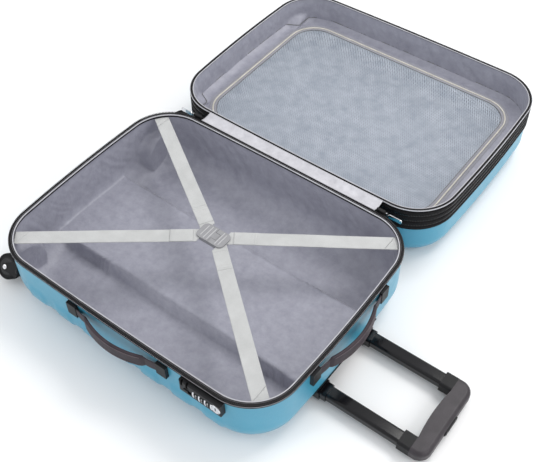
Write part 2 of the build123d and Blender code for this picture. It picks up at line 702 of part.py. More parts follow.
def make_sliders():
    """Main sliders parked at the two ends of the hinge, on the outside of the rim."""
    seat = Pos(CORNER.X, CORNER.Y + PLAN_CORNER, SLIDER_LEVEL)
    right_body = seat * slider_body()
    right_pull = seat * pull_tab()
    save("zip_slider_right", right_body - extrude(plan(-FIT_GAP), HALF_DEPTH + 20))
    save("zip_pull_right", right_pull)
    save("zip_slider_left", mirror(right_body - extrude(plan(-FIT_GAP), HALF_DEPTH + 20), Plane.YZ))
    save("zip_pull_left", mirror(right_pull, Plane.YZ))


# ---------------------------------------------------------------- back half
def cross_ribs(envelope):
    """Raised bands across the back that wrap onto the long sides."""
    start = -RIB_PITCH * (RIB_COUNT - 1) / 2
    bands = []
    for number in range(RIB_COUNT):
        x = start + number * RIB_PITCH
        low, high = x - RIB_WIDTH / 2, x + RIB_WIDTH / 2
        bands.append(span_box((low, high), (-HALF_Y, HALF_Y), (0, RIB_TOP)))
    bands_together = bands[0]
    for band in bands[1:]:
        bands_together = bands_together + band
    return envelope & bands_together


def ribbed_shell(edge_round, wall_top):
    """A pressed shell with its cross ribs, hollow inside, open at the top."""
    envelope = block(0, 0, wall_top, edge_round)
    outer = block(RIB_HEIGHT, RIB_HEIGHT, wall_top, edge_round - RIB_HEIGHT)
    hollow_inset = RIB_HEIGHT + WALL
    hollow = block(hollow_inset, hollow_inset, wall_top + 10, edge_round - hollow_inset)
    shell = outer + cross_ribs(envelope) - hollow
    return shell - well(WELL_RADIUS + WELL_WALL, WELL_FLOOR_X + WELL_WALL)


def lining(edge_round, extra_outer, extra_inner, top):
    """Cloth liner that follows the inside of a shell and of what stands in it."""
    outer = block(LINING_OUT, LINING_OUT, top, edge_round - LINING_OUT)
    inner = block(LINING_IN, LINING_IN, top + 10, edge_round - LINING_IN)
    margin = 0.3
    outer = outer - well(WELL_RADIUS + WELL_WALL + margin, WELL_FLOOR_X + WELL_WALL + margin)
    grown = margin + LINING_THICKNESS
    inner = inner - well(WELL_RADIUS + WELL_WALL + grown, WELL_FLOOR_X + WELL_WALL + grown)
    for shape in extra_outer:
        outer = outer - shape
    for shape in extra_inner:
        inner = inner - shape
    return outer - inner


def hump(margin):
    """Raised strip of the floor that covers the handle tubes."""
    half = HUMP_HALF_WIDTH + margin
    return span_box((-HALF_X, HALF_X), (-half, half), (0, HUMP_TOP + margin))


def make_back_half():
    trim_low = HALF_DEPTH - TRIM_HEIGHT
    outer = block(RIB_HEIGHT, RIB_HEIGHT, trim_low, EDGE_ROUND - RIB_HEIGHT)
    shell = ribbed_shell(EDGE_ROUND, trim_low)
    shell = shell - tube_passage(0.0) - lock_block(0.0)
    save("back_shell", shell)
    save("back_wheel_housings", wheel_housings(outer))
    save("back_swivel_pins", *kingpins())
    save("back_rim_trim", ring(0, TRIM_WIDTH, trim_low, HALF_DEPTH))
    teeth = ring(TEETH_INSET, TEETH_INSET + TEETH_WIDTH, HALF_DEPTH, HALF_DEPTH + TEETH_HEIGHT)
    hinge_side = span_box(
        (-HINGE_HALF_LENGTH, HINGE_HALF_LENGTH), (HALF_Y - 20, HALF_Y + 1), (0, HALF_DEPTH + 5)
    )
    save("back_zip_teeth", teeth - hinge_side)
    back_lining = lining(
        EDGE_ROUND,
        [hump(0.0), lock_block(0.3)],
        [hump(LINING_THICKNESS), lock_block(0.3 + LINING_THICKNESS)],
        trim_low,
    )
    save("back_lining", back_lining)
    save("handle_bezel", handle_bezel())
    save("handle_tube_foot", tube_foot())
    make_carry_handles(outer)


# ---------------------------------------------------------------- front half, the lid
def gusset():
    """Cloth band with raised zipper tapes between the lid's shell and its rim."""
    top = HALF_DEPTH - BINDING_HEIGHT
    recess = 1.6
    band = ring(recess, recess + GUSSET_WALL, GUSSET_LOW, top)
    pitch = GUSSET_HEIGHT / GUSSET_RIDGES
    ridge = pitch * 0.56
    for number in range(GUSSET_RIDGES):
        middle = GUSSET_LOW + pitch * (number + 0.5)
        band = band + ring(0, recess + 1, middle - ridge / 2, middle + ridge / 2)
    return band


def make_front_half():
    shell = ribbed_shell(LID_EDGE_ROUND, GUSSET_LOW)
    save("front_shell", to_lid(shell))
    envelope = block(RIB_HEIGHT, RIB_HEIGHT, GUSSET_LOW, LID_EDGE_ROUND - RIB_HEIGHT)
    save("front_wheel_housings", to_lid(wheel_housings(envelope)))
    save("front_swivel_pins", *[to_lid(pin) for pin in kingpins()])
    save("lid_gusset", to_lid(gusset()))
    binding_low = HALF_DEPTH - BINDING_HEIGHT
    save("lid_rim_binding", to_lid(ring(0, BINDING_WIDTH, binding_low, HALF_DEPTH)))
    teeth = ring(TEETH_INSET, TEETH_INSET + TEETH_WIDTH, HALF_DEPTH, HALF_DEPTH + TEETH_HEIGHT)
    hinge_side = span_box(
        (-HINGE_HALF_LENGTH, HINGE_HALF_LENGTH), (-HALF_Y - 1, -HALF_Y + 20), (0, HALF_DEPTH + 5)
    )
    save("lid_zip_teeth", to_lid(teeth - hinge_side))
    save("lid_lining", to_lid(lining(LID_EDGE_ROUND, [], [], binding_low)))


def mesh_outline(grow):
    return RectangleRounded(
        2 * (MESH_HALF_LENGTH + grow), 2 * (MESH_HALF_WIDTH + grow), MESH_CORNER + grow
    )


def make_divider():
    """Zipped mesh divider that closes the lid below its rim."""
    low = DIVIDER_LEVEL - DIVIDER_THICKNESS / 2
    grow = ZIP_TAPE_WIDTH
    border = Pos(0, 0, low) * extrude(plan(LINING_IN + 0.2) - mesh_outline(grow), DIVIDER_THICKNESS)
    covered = WELL_WALL + LINING_THICKNESS + 0.6
    border = border - well(WELL_RADIUS + covered, WELL_FLOOR_X + covered)
    save("divider_border", to_lid(border))
    tape = extrude(mesh_outline(grow) - mesh_outline(0), DIVIDER_THICKNESS)
    ridge = extrude(mesh_outline(grow / 2 + 1.6) - mesh_outline(grow / 2 - 1.6), 1.0)
    tape = tape + Pos(0, 0, DIVIDER_THICKNESS) * ridge
    save("divider_zipper", to_lid(Pos(0, 0, low) * tape))
    panel = extrude(mesh_outline(0), DIVIDER_THICKNESS * 0.6)
    save("divider_mesh", to_lid(Pos(0, 0, low + 0.2) * panel))
    top = low + DIVIDER_THICKNESS + 1.0 + FIT_GAP
    y = -MESH_HALF_WIDTH - grow / 2
    slider = Pos(0, y, top + 1.5) * Box(11, 7, 3)
    slider = fillet(slider.edges().filter_by(Axis.Z), 2.0)
    loop = Pos(-4.0, y, top + 3.0 + 1.0) * Box(3.6, 4.4, 2.6)
    loop = loop - Pos(-4.0, y, top + 3.0 + 0.7) * Rot(90, 0, 0) * Cylinder(0.9, 10)
    save("divider_slider", to_lid(slider + loop))
    pull = Pos(-4.0, y, top + 3.0 + 0.7) * Rot(90, 0, 0) * Cylinder(0.7, 7.4)
    arm_y = 3.1
    for side in (-1, 1):
        arm = Pos(-4.0 + 3.2, y + side * arm_y, top + 3.0 + 0.7) * Box(6.4 + 0.8, 1.0, 1.2)
        pull = pull + arm
    blade = Pos(10.0, y, top + 3.0 + 0.7) * Box(16.0, 7.2, 1.2)
    save("divider_pull", to_lid(pull + blade))


def make_hinge():
    """Cloth strip between the two rims, flat when the case lies open."""
    low = HALF_DEPTH - HINGE_THICKNESS - 0.4
    strip = span_box(
        (-HINGE_HALF_LENGTH, HINGE_HALF_LENGTH),
        (HALF_Y - 6, HALF_Y + HINGE_GAP + 6),
        (low, low + HINGE_THICKNESS),
    )
    strip = strip - extrude(plan(0), HALF_DEPTH + 5)
    strip = strip - to_lid(extrude(plan(-FIT_GAP), HALF_DEPTH + 5))
    save("hinge_strip", strip)


make_back_half()
make_lock()
make_handle()
make_front_half()
make_divider()
make_hinge()
make_straps()
make_buckle()
make_sliders()
make_wheels()
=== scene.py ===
import json
import math

import bmesh
import bpy
import numpy as np
from mathutils import Matrix, Vector

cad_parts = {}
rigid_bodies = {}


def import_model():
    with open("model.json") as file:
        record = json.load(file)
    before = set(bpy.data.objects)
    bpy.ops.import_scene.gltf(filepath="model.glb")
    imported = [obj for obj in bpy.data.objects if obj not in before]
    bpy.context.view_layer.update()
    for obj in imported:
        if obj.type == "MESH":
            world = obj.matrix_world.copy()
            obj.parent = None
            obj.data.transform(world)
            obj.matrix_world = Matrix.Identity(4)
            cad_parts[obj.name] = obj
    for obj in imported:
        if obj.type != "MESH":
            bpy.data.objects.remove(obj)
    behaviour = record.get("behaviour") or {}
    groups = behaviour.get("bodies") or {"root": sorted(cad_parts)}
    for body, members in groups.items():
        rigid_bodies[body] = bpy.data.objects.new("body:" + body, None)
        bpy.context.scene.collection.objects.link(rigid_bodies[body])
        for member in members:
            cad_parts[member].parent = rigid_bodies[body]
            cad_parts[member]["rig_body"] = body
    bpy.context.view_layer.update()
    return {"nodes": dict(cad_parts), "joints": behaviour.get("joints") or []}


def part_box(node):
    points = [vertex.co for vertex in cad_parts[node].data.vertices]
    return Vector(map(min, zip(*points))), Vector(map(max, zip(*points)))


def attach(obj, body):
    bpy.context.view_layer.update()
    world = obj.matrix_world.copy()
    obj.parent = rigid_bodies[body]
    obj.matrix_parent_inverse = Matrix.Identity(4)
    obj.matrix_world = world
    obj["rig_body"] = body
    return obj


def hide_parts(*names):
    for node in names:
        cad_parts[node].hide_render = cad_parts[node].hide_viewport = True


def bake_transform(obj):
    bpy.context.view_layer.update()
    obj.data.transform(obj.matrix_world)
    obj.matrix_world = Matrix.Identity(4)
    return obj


# Hard shell suitcase, open on its back. Metres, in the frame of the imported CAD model:
# +X towards the telescoping handle, +Y towards the lid, +Z up.

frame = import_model()

MM = 0.001

# ---------------------------------------------------------------- places, from the frame
trim_low, trim_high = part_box("back_rim_trim")
lid_low, lid_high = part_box("lid_rim_binding")
HALF_X = (trim_high[0] - trim_low[0]) / 2
HALF_Y = (trim_high[1] - trim_low[1]) / 2
LID_Y = (lid_low[1] + lid_high[1]) / 2
RIM = trim_high[2]
TRIM_BASE = trim_low[2]
GUSSET_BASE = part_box("lid_gusset")[0][2]
BINDING_BASE = lid_low[2]
CORNER_RADIUS = 74 * MM
SIDE_BOW = 3 * MM
END_BOW = 7 * MM
RIB_HEIGHT = 2 * MM
WALL = 2.6 * MM
RIB_PITCH = 54 * MM
RIB_COUNT = 7
BACK_ROUND = 46 * MM
FRONT_ROUND = 34 * MM


# ---------------------------------------------------------------- small helpers
def smooth(low, high, value):
    t = np.clip((value - low) / (high - low), 0, 1)
    return t * t * (3 - 2 * t)


def new_object(name, mesh, material=None, shade_smooth=True):
    obj = bpy.data.objects.new(name, mesh)
    bpy.context.scene.collection.objects.link(obj)
    if material is not None:
        mesh.materials.append(material)
    if shade_smooth:
        mesh.shade_smooth()
    return obj


def mesh_from(name, points, faces, material=None, shade_smooth=True):
    mesh = bpy.data.meshes.new(name)
    mesh.from_pydata([tuple(map(float, p)) for p in points], [], [tuple(map(int, f)) for f in faces])
    mesh.validate()
    mesh.update()
    return new_object(name, mesh, material, shade_smooth)


def fix_normals(obj):
    work = bmesh.new()
    work.from_mesh(obj.data)
    bmesh.ops.remove_doubles(work, verts=work.verts, dist=1e-6)
    bmesh.ops.recalc_face_normals(work, faces=work.faces)
    work.to_mesh(obj.data)
    work.free()
    return obj


def apply_modifiers(obj):
    """Leaves the evaluated mesh on the object, with no modifier."""
    graph = bpy.context.evaluated_depsgraph_get()
    mesh = bpy.data.meshes.new_from_object(obj.evaluated_get(graph))
    old = obj.data
    obj.modifiers.clear()
    obj.data = mesh
    bpy.data.meshes.remove(old)
    return obj


def sharp_by_angle(obj, degrees=35):
    obj.data.shade_smooth()
    obj.data.set_sharp_from_angle(angle=math.radians(degrees))
    return obj


# ---------------------------------------------------------------- closed paths round the case
def rim_path(step=4 * MM):
    """Points, outward normals and travelled length of the case outline."""
    corner_x = HALF_X - END_BOW
    corner_y = HALF_Y - SIDE_BOW
    side_radius = (corner_x**2 + SIDE_BOW**2) / (2 * SIDE_BOW)
    end_radius = (corner_y**2 + END_BOW**2) / (2 * END_BOW)
    side_centre = np.array([0, HALF_Y - side_radius])
    end_centre = np.array([HALF_X - end_radius, 0])
    reach_a = side_radius - CORNER_RADIUS
    reach_b = end_radius - CORNER_RADIUS
    across = end_centre - side_centre
    apart = np.linalg.norm(across)
    along = (reach_a**2 - reach_b**2 + apart**2) / (2 * apart)
    height = math.sqrt(reach_a**2 - along**2)
    unit = across / apart
    normal = np.array([-unit[1], unit[0]])
    choices = [side_centre + unit * along + normal * s * height for s in (-1, 1)]
    corner = max(choices, key=lambda c: c[0])

    def arc(centre, radius, start, end):
        count = max(3, int(round(abs(end - start) * radius / step)))
        angles = np.linspace(start, end, count, endpoint=False)
        way = np.stack([np.cos(angles), np.sin(angles)], 1)
        return centre + radius * way, way

    to_side = corner - side_centre
    to_end = corner - end_centre
    side_angle = math.atan2(to_side[1], to_side[0])
    end_angle = math.atan2(to_end[1], to_end[0])
    quarter = [
        arc(end_centre, end_radius, 0, end_angle),
        arc(corner, CORNER_RADIUS, end_angle, side_angle),
        arc(side_centre, side_radius, side_angle, math.pi / 2),
    ]
    points = np.concatenate([q[0] for q in quarter])
    normals = np.concatenate([q[1] for q in quarter])
    top = np.array([[0, HALF_Y]])
    up = np.array([[0, 1.0]])
    right = (np.concatenate([points, top]), np.concatenate([normals, up]))
    left = (right[0][1:-1][::-1] * [-1, 1], right[1][1:-1][::-1] * [-1, 1])
    upper = np.concatenate([right[0], left[0], [[-HALF_X, 0]]])
    upper_normals = np.concatenate([right[1], left[1], [[-1.0, 0]]])
    lower = upper[1:-1][::-1] * [1, -1]
    lower_normals = upper_normals[1:-1][::-1] * [1, -1]
    points = np.concatenate([upper, lower])
    normals = np.concatenate([upper_normals, lower_normals])
    return with_length(points, normals)


def with_length(points, normals):
    gaps = np.linalg.norm(np.roll(points, -1, 0) - points, axis=1)
    length = np.concatenate([[0], np.cumsum(gaps)])
    return {"p": points, "n": normals, "s": length[:-1], "total": length[-1]}


def rounded_path(half_x, half_y, radius, step=4 * MM):
    """The same for a plain rounded rectangle."""
    points, normals = [], []
    corners = [(1, 1, 0), (-1, 1, 90), (-1, -1, 180), (1, -1, 270)]
    for sx, sy, start in corners:
        centre = np.array([sx * (half_x - radius), sy * (half_y - radius)])
        for angle in np.radians(np.linspace(start, start + 90, 13)):
            way = np.array([math.cos(angle), math.sin(angle)])
            points.append(centre + radius * way)
            normals.append(way)
        turn = np.array([math.cos(math.radians(start + 90)), math.sin(math.radians(start + 90))])
        run = np.array([-turn[1], turn[0]])
        length = 2 * (half_x - radius) if abs(run[0]) > 0.5 else 2 * (half_y - radius)
        count = int(length / step)
        for k in range(1, count):
            points.append(centre + radius * turn + run * length * k / count)
            normals.append(turn)
    return with_length(np.array(points), np.array(normals))


RIM_PATH = rim_path()


def ring_points(path, inset, z):
    """A loop at that inset and height. Both may vary along the path."""
    inset = np.broadcast_to(np.asarray(inset, float), (len(path["p"]),))
    z = np.broadcast_to(np.asarray(z, float), (len(path["p"]),))
    flat = path["p"] - path["n"] * inset[:, None]
    return np.column_stack([flat, z])


def loft(rings, closed_profile):
    """Quads between loops of the same number of points."""
    count = len(rings[0])
    points = np.concatenate(rings)
    faces = []
    last = len(rings) if closed_profile else len(rings) - 1
    for k in range(last):
        a = k * count
        b = ((k + 1) % len(rings)) * count
        for i in range(count):
            j = (i + 1) % count
            faces.append((a + i, a + j, b + j, b + i))
    return points, faces


def capped(rings):
    """Quads between loops, with both end loops closed."""
    points, faces = loft([np.array(ring) for ring in rings], False)
    count = len(rings[0])
    faces += [tuple(range(count)), tuple(range(len(points) - count, len(points)))]
    return points, faces


def sweep_ring(name, path, profile, material, centre_y=0.0, shade_smooth=True):
    """A closed profile of (inset, z) points carried round a path."""
    rings = [ring_points(path, inset, z) for inset, z in profile]
    points, faces = loft(rings, True)
    points = points + [0, centre_y, 0]
    return fix_normals(mesh_from(name, points, faces, material, shade_smooth))


def round_profile(inset, z, radius, sides=10, squeeze=1.0):
    angles = np.linspace(0, 2 * math.pi, sides, endpoint=False)
    return [(inset + radius * math.cos(a) * squeeze, z + radius * math.sin(a)) for a in angles]


def box_profile(inset_low, inset_high, z_low, z_high, round_by):
    """A rectangle with chamfered corners."""
    r = round_by
    return [
        (inset_low + r, z_low),
        (inset_high - r, z_low),
        (inset_high, z_low + r),
        (inset_high, z_high - r),
        (inset_high - r, z_high),
        (inset_low + r, z_high),
        (inset_low, z_high - r),
        (inset_low, z_low + r),
    ]


def small_boxes(name, centres, ways, size, material, ups=None):
    """Many little boxes in one mesh. ways is each one's long direction."""
    corners = np.array([[x, y, z] for x in (-1, 1) for y in (-1, 1) for z in (-1, 1)]) / 2 * size
    quads = [(0, 1, 3, 2), (4, 6, 7, 5), (0, 4, 5, 1), (2, 3, 7, 6), (0, 2, 6, 4), (1, 5, 7, 3)]
    points, faces = [], []
    for k, (centre, way) in enumerate(zip(centres, ways)):
        way = np.array(way, float) / np.linalg.norm(way)
        up = np.array([0, 0, 1.0]) if ups is None else np.array(ups[k], float)
        side = np.cross(up, way)
        side /= np.linalg.norm(side)
        up = np.cross(way, side)
        base = len(points)
        points.extend(centre + c[0] * way + c[1] * side + c[2] * up for c in corners)
        faces.extend(tuple(base + i for i in quad) for quad in quads)
    return mesh_from(name, points, faces, material, False)


def along_path(path, inset, pitch, keep=None):
    """Evenly spaced places on a path: position, tangent and normal."""
    count = int(path["total"] / pitch)
    closed_s = np.append(path["s"], path["total"])
    closed_p = np.vstack([path["p"], path["p"][:1]])
    closed_n = np.vstack([path["n"], path["n"][:1]])
    found = []
    for s in (np.arange(count) + 0.5) * path["total"] / count:
        p = np.array([np.interp(s, closed_s, closed_p[:, k]) for k in (0, 1)])
        n = np.array([np.interp(s, closed_s, closed_n[:, k]) for k in (0, 1)])
        n /= np.linalg.norm(n)
        if keep is None or keep(p):
            found.append((p - n * inset, np.array([-n[1], n[0]]), n))
    return found


# ---------------------------------------------------------------- materials
def node_material(name):
    material = bpy.data.materials.new(name)
    material.use_nodes = True
    tree = material.node_tree
    return material, tree, tree.nodes["Principled BSDF"]


def object_coords(tree, scale=(1, 1, 1), turn=0.0):
    coords = tree.nodes.new("ShaderNodeTexCoord")
    mapping = tree.nodes.new("ShaderNodeMapping")
    mapping.inputs["Scale"].default_value = scale
    mapping.inputs["Rotation"].default_value = (0, 0, turn)
    tree.links.new(coords.outputs["Object"], mapping.inputs["Vector"])
    return mapping.outputs["Vector"]


def noise(tree, vector, scale, detail=4.0, roughness=0.55):
    node = tree.nodes.new("ShaderNodeTexNoise")
    node.inputs["Scale"].default_value = scale
    node.inputs["Detail"].default_value = detail
    node.inputs["Roughness"].default_value = roughness
    tree.links.new(vector, node.inputs["Vector"])
    return node.outputs["Fac"]


def colour_between(tree, factor, low, high, start=0.3, end=0.7):
    ramp = tree.nodes.new("ShaderNodeValToRGB")
    ramp.color_ramp.elements[0].position = start
    ramp.color_ramp.elements[1].position = end
    ramp.color_ramp.elements[0].color = (*low, 1)
    ramp.color_ramp.elements[1].color = (*high, 1)
    tree.links.new(factor, ramp.inputs["Fac"])
    return ramp.outputs["Color"]


def level_between(tree, factor, low, high):
    node = tree.nodes.new("ShaderNodeMapRange")
    node.inputs["To Min"].default_value = low
    node.inputs["To Max"].default_value = high
    tree.links.new(factor, node.inputs["Value"])
    return node.outputs["Result"]


def maths(tree, operation, a, b=None):
    node = tree.nodes.new("ShaderNodeMath")
    node.operation = operation
    for socket, value in zip(node.inputs, (a, b)):
        if value is None:
            continue
        if isinstance(value, (int, float)):
            socket.default_value = value
        else:
            tree.links.new(value, socket)
    return node.outputs[0]


def add_bump(tree, shader, height, strength, distance, before=None):
    bump = tree.nodes.new("ShaderNodeBump")
    bump.inputs["Strength"].default_value = strength
    bump.inputs["Distance"].default_value = distance
    tree.links.new(height, bump.inputs["Height"])
    if before is not None:
        tree.links.new(before, bump.inputs["Normal"])
    tree.links.new(bump.outputs["Normal"], shader.inputs["Normal"])
    return bump.outputs["Normal"]


def shell_material():
    """Blue moulded shell with a fine pebbled grain."""
    material, tree, shader = node_material("shell_blue")
    vector = object_coords(tree)
    broad = noise(tree, vector, 9, 3)
    colour = colour_between(tree, broad, (0.038, 0.275, 0.415), (0.046, 0.310, 0.455))
    tree.links.new(colour, shader.inputs["Base Color"])
    cells = tree.nodes.new("ShaderNodeTexVoronoi")
    cells.feature = "SMOOTH_F1"
    cells.inputs["Scale"].default_value = 620
    tree.links.new(vector, cells.inputs["Vector"])
    add_bump(tree, shader, cells.outputs["Distance"], 0.35, 0.0004)
    rough = level_between(tree, noise(tree, vector, 120, 2), 0.28, 0.42)
    tree.links.new(rough, shader.inputs["Roughness"])
    shader.inputs["Coat Weight"].default_value = 0.25
    shader.inputs["Coat Roughness"].default_value = 0.25
    return material


def moulded(name, colour, roughness, grain=900, strength=0.25, coat=0.0, lift=1.35, shine=0.5):
    """Moulded plastic or rubber: faint mottling, fine grain."""
    material, tree, shader = node_material(name)
    vector = object_coords(tree)
    lighter = tuple(min(1.0, c * lift) for c in colour)
    mottled = colour_between(tree, noise(tree, vector, 60, 5), colour, lighter)
    tree.links.new(mottled, shader.inputs["Base Color"])
    rough = level_between(tree, noise(tree, vector, 200, 3), roughness * 0.85, min(1, roughness * 1.15))
    tree.links.new(rough, shader.inputs["Roughness"])
    add_bump(tree, shader, noise(tree, vector, grain, 2), strength, 0.0003)
    shader.inputs["Specular IOR Level"].default_value = shine
    shader.inputs["Coat Weight"].default_value = coat
    shader.inputs["Coat Roughness"].default_value = 0.08
    return material


def metal(name, colour, roughness, streak=(1, 1, 1)):
    material, tree, shader = node_material(name)
    vector = object_coords(tree, streak)
    tint = colour_between(tree, noise(tree, vector, 300, 4), colour, tuple(min(1, c * 1.12) for c in colour))
    tree.links.new(tint, shader.inputs["Base Color"])
    rough = level_between(tree, noise(tree, vector, 500, 3), roughness * 0.7, roughness * 1.3)
    tree.links.new(rough, shader.inputs["Roughness"])
    shader.inputs["Metallic"].default_value = 1.0
    return material


def woven(
    name, colour, lighter, thread, turn=0.0, sheen=0.3, roughness=0.8, strength=0.5, axes="xy", shine=0.5
):
    """Plain weave cloth. thread is the spacing of its threads."""
    material, tree, shader = node_material(name)
    scale = 1.0 / thread
    vector = object_coords(tree, (scale, scale, scale), turn)
    split = tree.nodes.new("ShaderNodeSeparateXYZ")
    tree.links.new(vector, split.inputs[0])
    first = split.outputs["XYZ".index(axes[0].upper())]
    second = split.outputs["XYZ".index(axes[1].upper())]
    warp = maths(tree, "SINE", maths(tree, "MULTIPLY", first, math.pi))
    weft = maths(tree, "SINE", maths(tree, "MULTIPLY", second, math.pi))
    weave = maths(tree, "ABSOLUTE", maths(tree, "MULTIPLY", warp, weft))
    plain = object_coords(tree)
    uneven = noise(tree, plain, 45, 5)
    both = maths(tree, "ADD", maths(tree, "MULTIPLY", weave, 0.45), maths(tree, "MULTIPLY", uneven, 0.55))
    tint = colour_between(tree, both, colour, lighter, 0.25, 0.75)
    tree.links.new(tint, shader.inputs["Base Color"])
    add_bump(tree, shader, weave, strength, thread * 0.35)
    shader.inputs["Roughness"].default_value = roughness
    shader.inputs["Specular IOR Level"].default_value = shine
    shader.inputs["Sheen Weight"].default_value = sheen
    shader.inputs["Sheen Roughness"].default_value = 0.4
    return material


def satin_material(name, colour, lighter):
    """Shiny lining cloth with fine crinkles."""
    material, tree, shader = node_material(name)
    vector = object_coords(tree)
    broad = noise(tree, vector, 70, 6, 0.65)
    tint = colour_between(tree, broad, colour, lighter, 0.3, 0.7)
    tree.links.new(tint, shader.inputs["Base Color"])
    crinkle = noise(tree, object_coords(tree, (1.0, 1.0, 0.45)), 75, 5, 0.6)
    first = add_bump(tree, shader, crinkle, 0.35, 0.004)
    threads = noise(tree, object_coords(tree, (1, 1, 6)), 1500, 1)
    add_bump(tree, shader, threads, 0.12, 0.0002, first)
    shader.inputs["Roughness"].default_value = 0.48
    shader.inputs["Sheen Weight"].default_value = 0.4
    shader.inputs["Sheen Roughness"].default_value = 0.3
    shader.inputs["Anisotropic"].default_value = 0.3
    return material


def mesh_cloth_material():
    """Fine netting: a lattice of round holes."""
    material, tree, shader = node_material("divider_netting")
    pitch = 3.6 * MM
    vector = object_coords(tree, (1 / pitch, 1 / (pitch * 0.866), 1))
    split = tree.nodes.new("ShaderNodeSeparateXYZ")
    tree.links.new(vector, split.inputs[0])
    row = maths(tree, "FLOOR", split.outputs[1])
    shift = maths(tree, "MULTIPLY", maths(tree, "MODULO", row, 2.0), 0.5)
    u = maths(tree, "SUBTRACT", maths(tree, "FRACT", maths(tree, "ADD", split.outputs[0], shift)), 0.5)
    v = maths(tree, "SUBTRACT", maths(tree, "FRACT", split.outputs[1]), 0.5)
    squares = maths(tree, "ADD", maths(tree, "MULTIPLY", u, u), maths(tree, "MULTIPLY", v, v))
    distance = maths(tree, "SQRT", squares)
    thread = maths(tree, "GREATER_THAN", distance, 0.31)
    uneven = noise(tree, object_coords(tree), 60, 4)
    tint = colour_between(tree, uneven, (0.31, 0.35, 0.41), (0.44, 0.48, 0.54))
    tree.links.new(tint, shader.inputs["Base Color"])
    tree.links.new(thread, shader.inputs["Alpha"])
    add_bump(tree, shader, distance, 0.4, 0.0004)
    shader.inputs["Roughness"].default_value = 0.7
    return material


BLUE = shell_material()
BLACK = moulded("black_plastic", (0.008, 0.008, 0.009), 0.45, shine=0.22)
GLOSS = moulded("black_lacquer", (0.002, 0.002, 0.003), 0.14, 300, 0.02, coat=0.12, shine=0.3)
GRIP = moulded("grip_rubber", (0.026, 0.022, 0.026), 0.42, 1100, 0.4, lift=1.6, shine=0.35)
TYRE = moulded("tyre_rubber", (0.005, 0.005, 0.006), 0.6, 700, 0.3, shine=0.2)
HUB = moulded("hub_plastic", (0.009, 0.009, 0.010), 0.35, 900, 0.2, shine=0.25)
GREY = moulded("buckle_plastic", (0.26, 0.26, 0.27), 0.45, 1000, 0.2, lift=1.1)
CHROME = metal("chrome", (0.72, 0.72, 0.74), 0.12)
STEEL = metal("steel", (0.50, 0.50, 0.51), 0.3, (1, 8, 8))
TAPE = woven(
    "zip_tape_black", (0.003, 0.003, 0.004), (0.012, 0.012, 0.013), 1.0 * MM,
    sheen=0.0, axes="xz", strength=0.6, shine=0.15,
)
BAND = woven(
    "rim_band_black", (0.004, 0.004, 0.005), (0.016, 0.014, 0.015), 1.1 * MM,
    sheen=0.02, strength=0.6, shine=0.15,
)
TEETH = moulded("coil_black", (0.010, 0.009, 0.010), 0.3, 600, 0.1, shine=0.4)
BINDING = woven("binding_pale", (0.42, 0.42, 0.44), (0.66, 0.66, 0.68), 0.9 * MM, strength=0.5, roughness=0.7)
SATIN = satin_material("lining_satin", (0.270, 0.272, 0.325), (0.350, 0.352, 0.410))
NETTING = mesh_cloth_material()
TAPE_BEIGE = woven("zip_tape_grey", (0.235, 0.235, 0.265), (0.350, 0.350, 0.385), 0.9 * MM, strength=0.5)
WEBBING_A, WEBBING_B = (
    woven(name, (0.44, 0.445, 0.44), (0.60, 0.605, 0.60), 1.3 * MM, turn=turn, strength=0.7)
    for name, turn in (("webbing_rising", -0.64), ("webbing_falling", 0.64))
)
STRAP = moulded("carry_strap", (0.026, 0.019, 0.024), 0.55, 700, 0.4, lift=1.7, shine=0.3)

PIPING = moulded("piping_dark", (0.005, 0.005, 0.006), 0.4, 900, 0.2, lift=1.5, shine=0.25)
PALE_EDGE = woven("pale_edge", (0.36, 0.36, 0.39), (0.60, 0.60, 0.63), 0.9 * MM, strength=0.4, roughness=0.6)
SEAM = moulded("seam_line", (0.16, 0.16, 0.17), 0.6, 900, 0.2)
# Dark grey for the divider's seam cord, which also paints the shadow line where the lid wall meets the
# divider, and for the divider tape's edge.
SEAM_AND_SHADOW_GREY = woven("seam_grey", (0.12, 0.12, 0.12), (0.20, 0.20, 0.20), 0.9 * MM, strength=0.4)
COIL_BEIGE = moulded("coil_beige", (0.50, 0.48, 0.43), 0.45, 700, 0.2, lift=1.3)
HINGE_CLOTH = satin_material("hinge_cloth_satin", (0.42, 0.415, 0.445), (0.56, 0.555, 0.59))
THREAD = moulded("thread_pale", (0.45, 0.45, 0.44), 0.6, 900, 0.2, lift=1.2)
# Paler than the buckle grey: painted highlight on the buckle's grip ridges.
RIDGE_HIGHLIGHT = moulded("ridge_pale", (0.42, 0.42, 0.43), 0.35, 1000, 0.15, lift=1.15)
# Lighter than the carry strap: painted highlight along the edges of the grip.
EDGE_HIGHLIGHT = moulded("edge_grey", (0.075, 0.058, 0.067), 0.5, 900, 0.3, lift=1.5)
PRINT = moulded("print_white", (0.70, 0.70, 0.70), 0.5, 900, 0.1, lift=1.05)
HUB_LIGHT = moulded("hub_ring_plastic", (0.022, 0.022, 0.024), 0.3, 900, 0.15, lift=1.3, shine=0.4)
RIM_FINE = rim_path(3 * MM)


def finish_cad(node, material):
    obj = frame["nodes"][node]
    obj.data.materials.clear()
    obj.data.materials.append(material)
    sharp_by_angle(obj, 32)


# ---------------------------------------------------------------- moulded shells
TUBE_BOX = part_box("handle_outer_tubes")
TUBE_SPREAD = (TUBE_BOX[1][1] - 13.2 * MM)
TUBE_LEVEL = (TUBE_BOX[0][2] + TUBE_BOX[1][2]) / 2
WELL_Y = HALF_Y - 32 * MM
WELL_Z = 31.4 * MM
WELL_X = -HALF_X + 26 * MM
WELL_RADIUS = 37.4 * MM
WELL_OUTSIDE = -0.3  # beyond the wheels
CLOTH_WELL_RADIUS = 41 * MM
CLOTH_WELL_GAP = 4.6 * MM
BORDER_WELL_RADIUS = 41.4 * MM
BORDER_WELL_GAP = 5.4 * MM


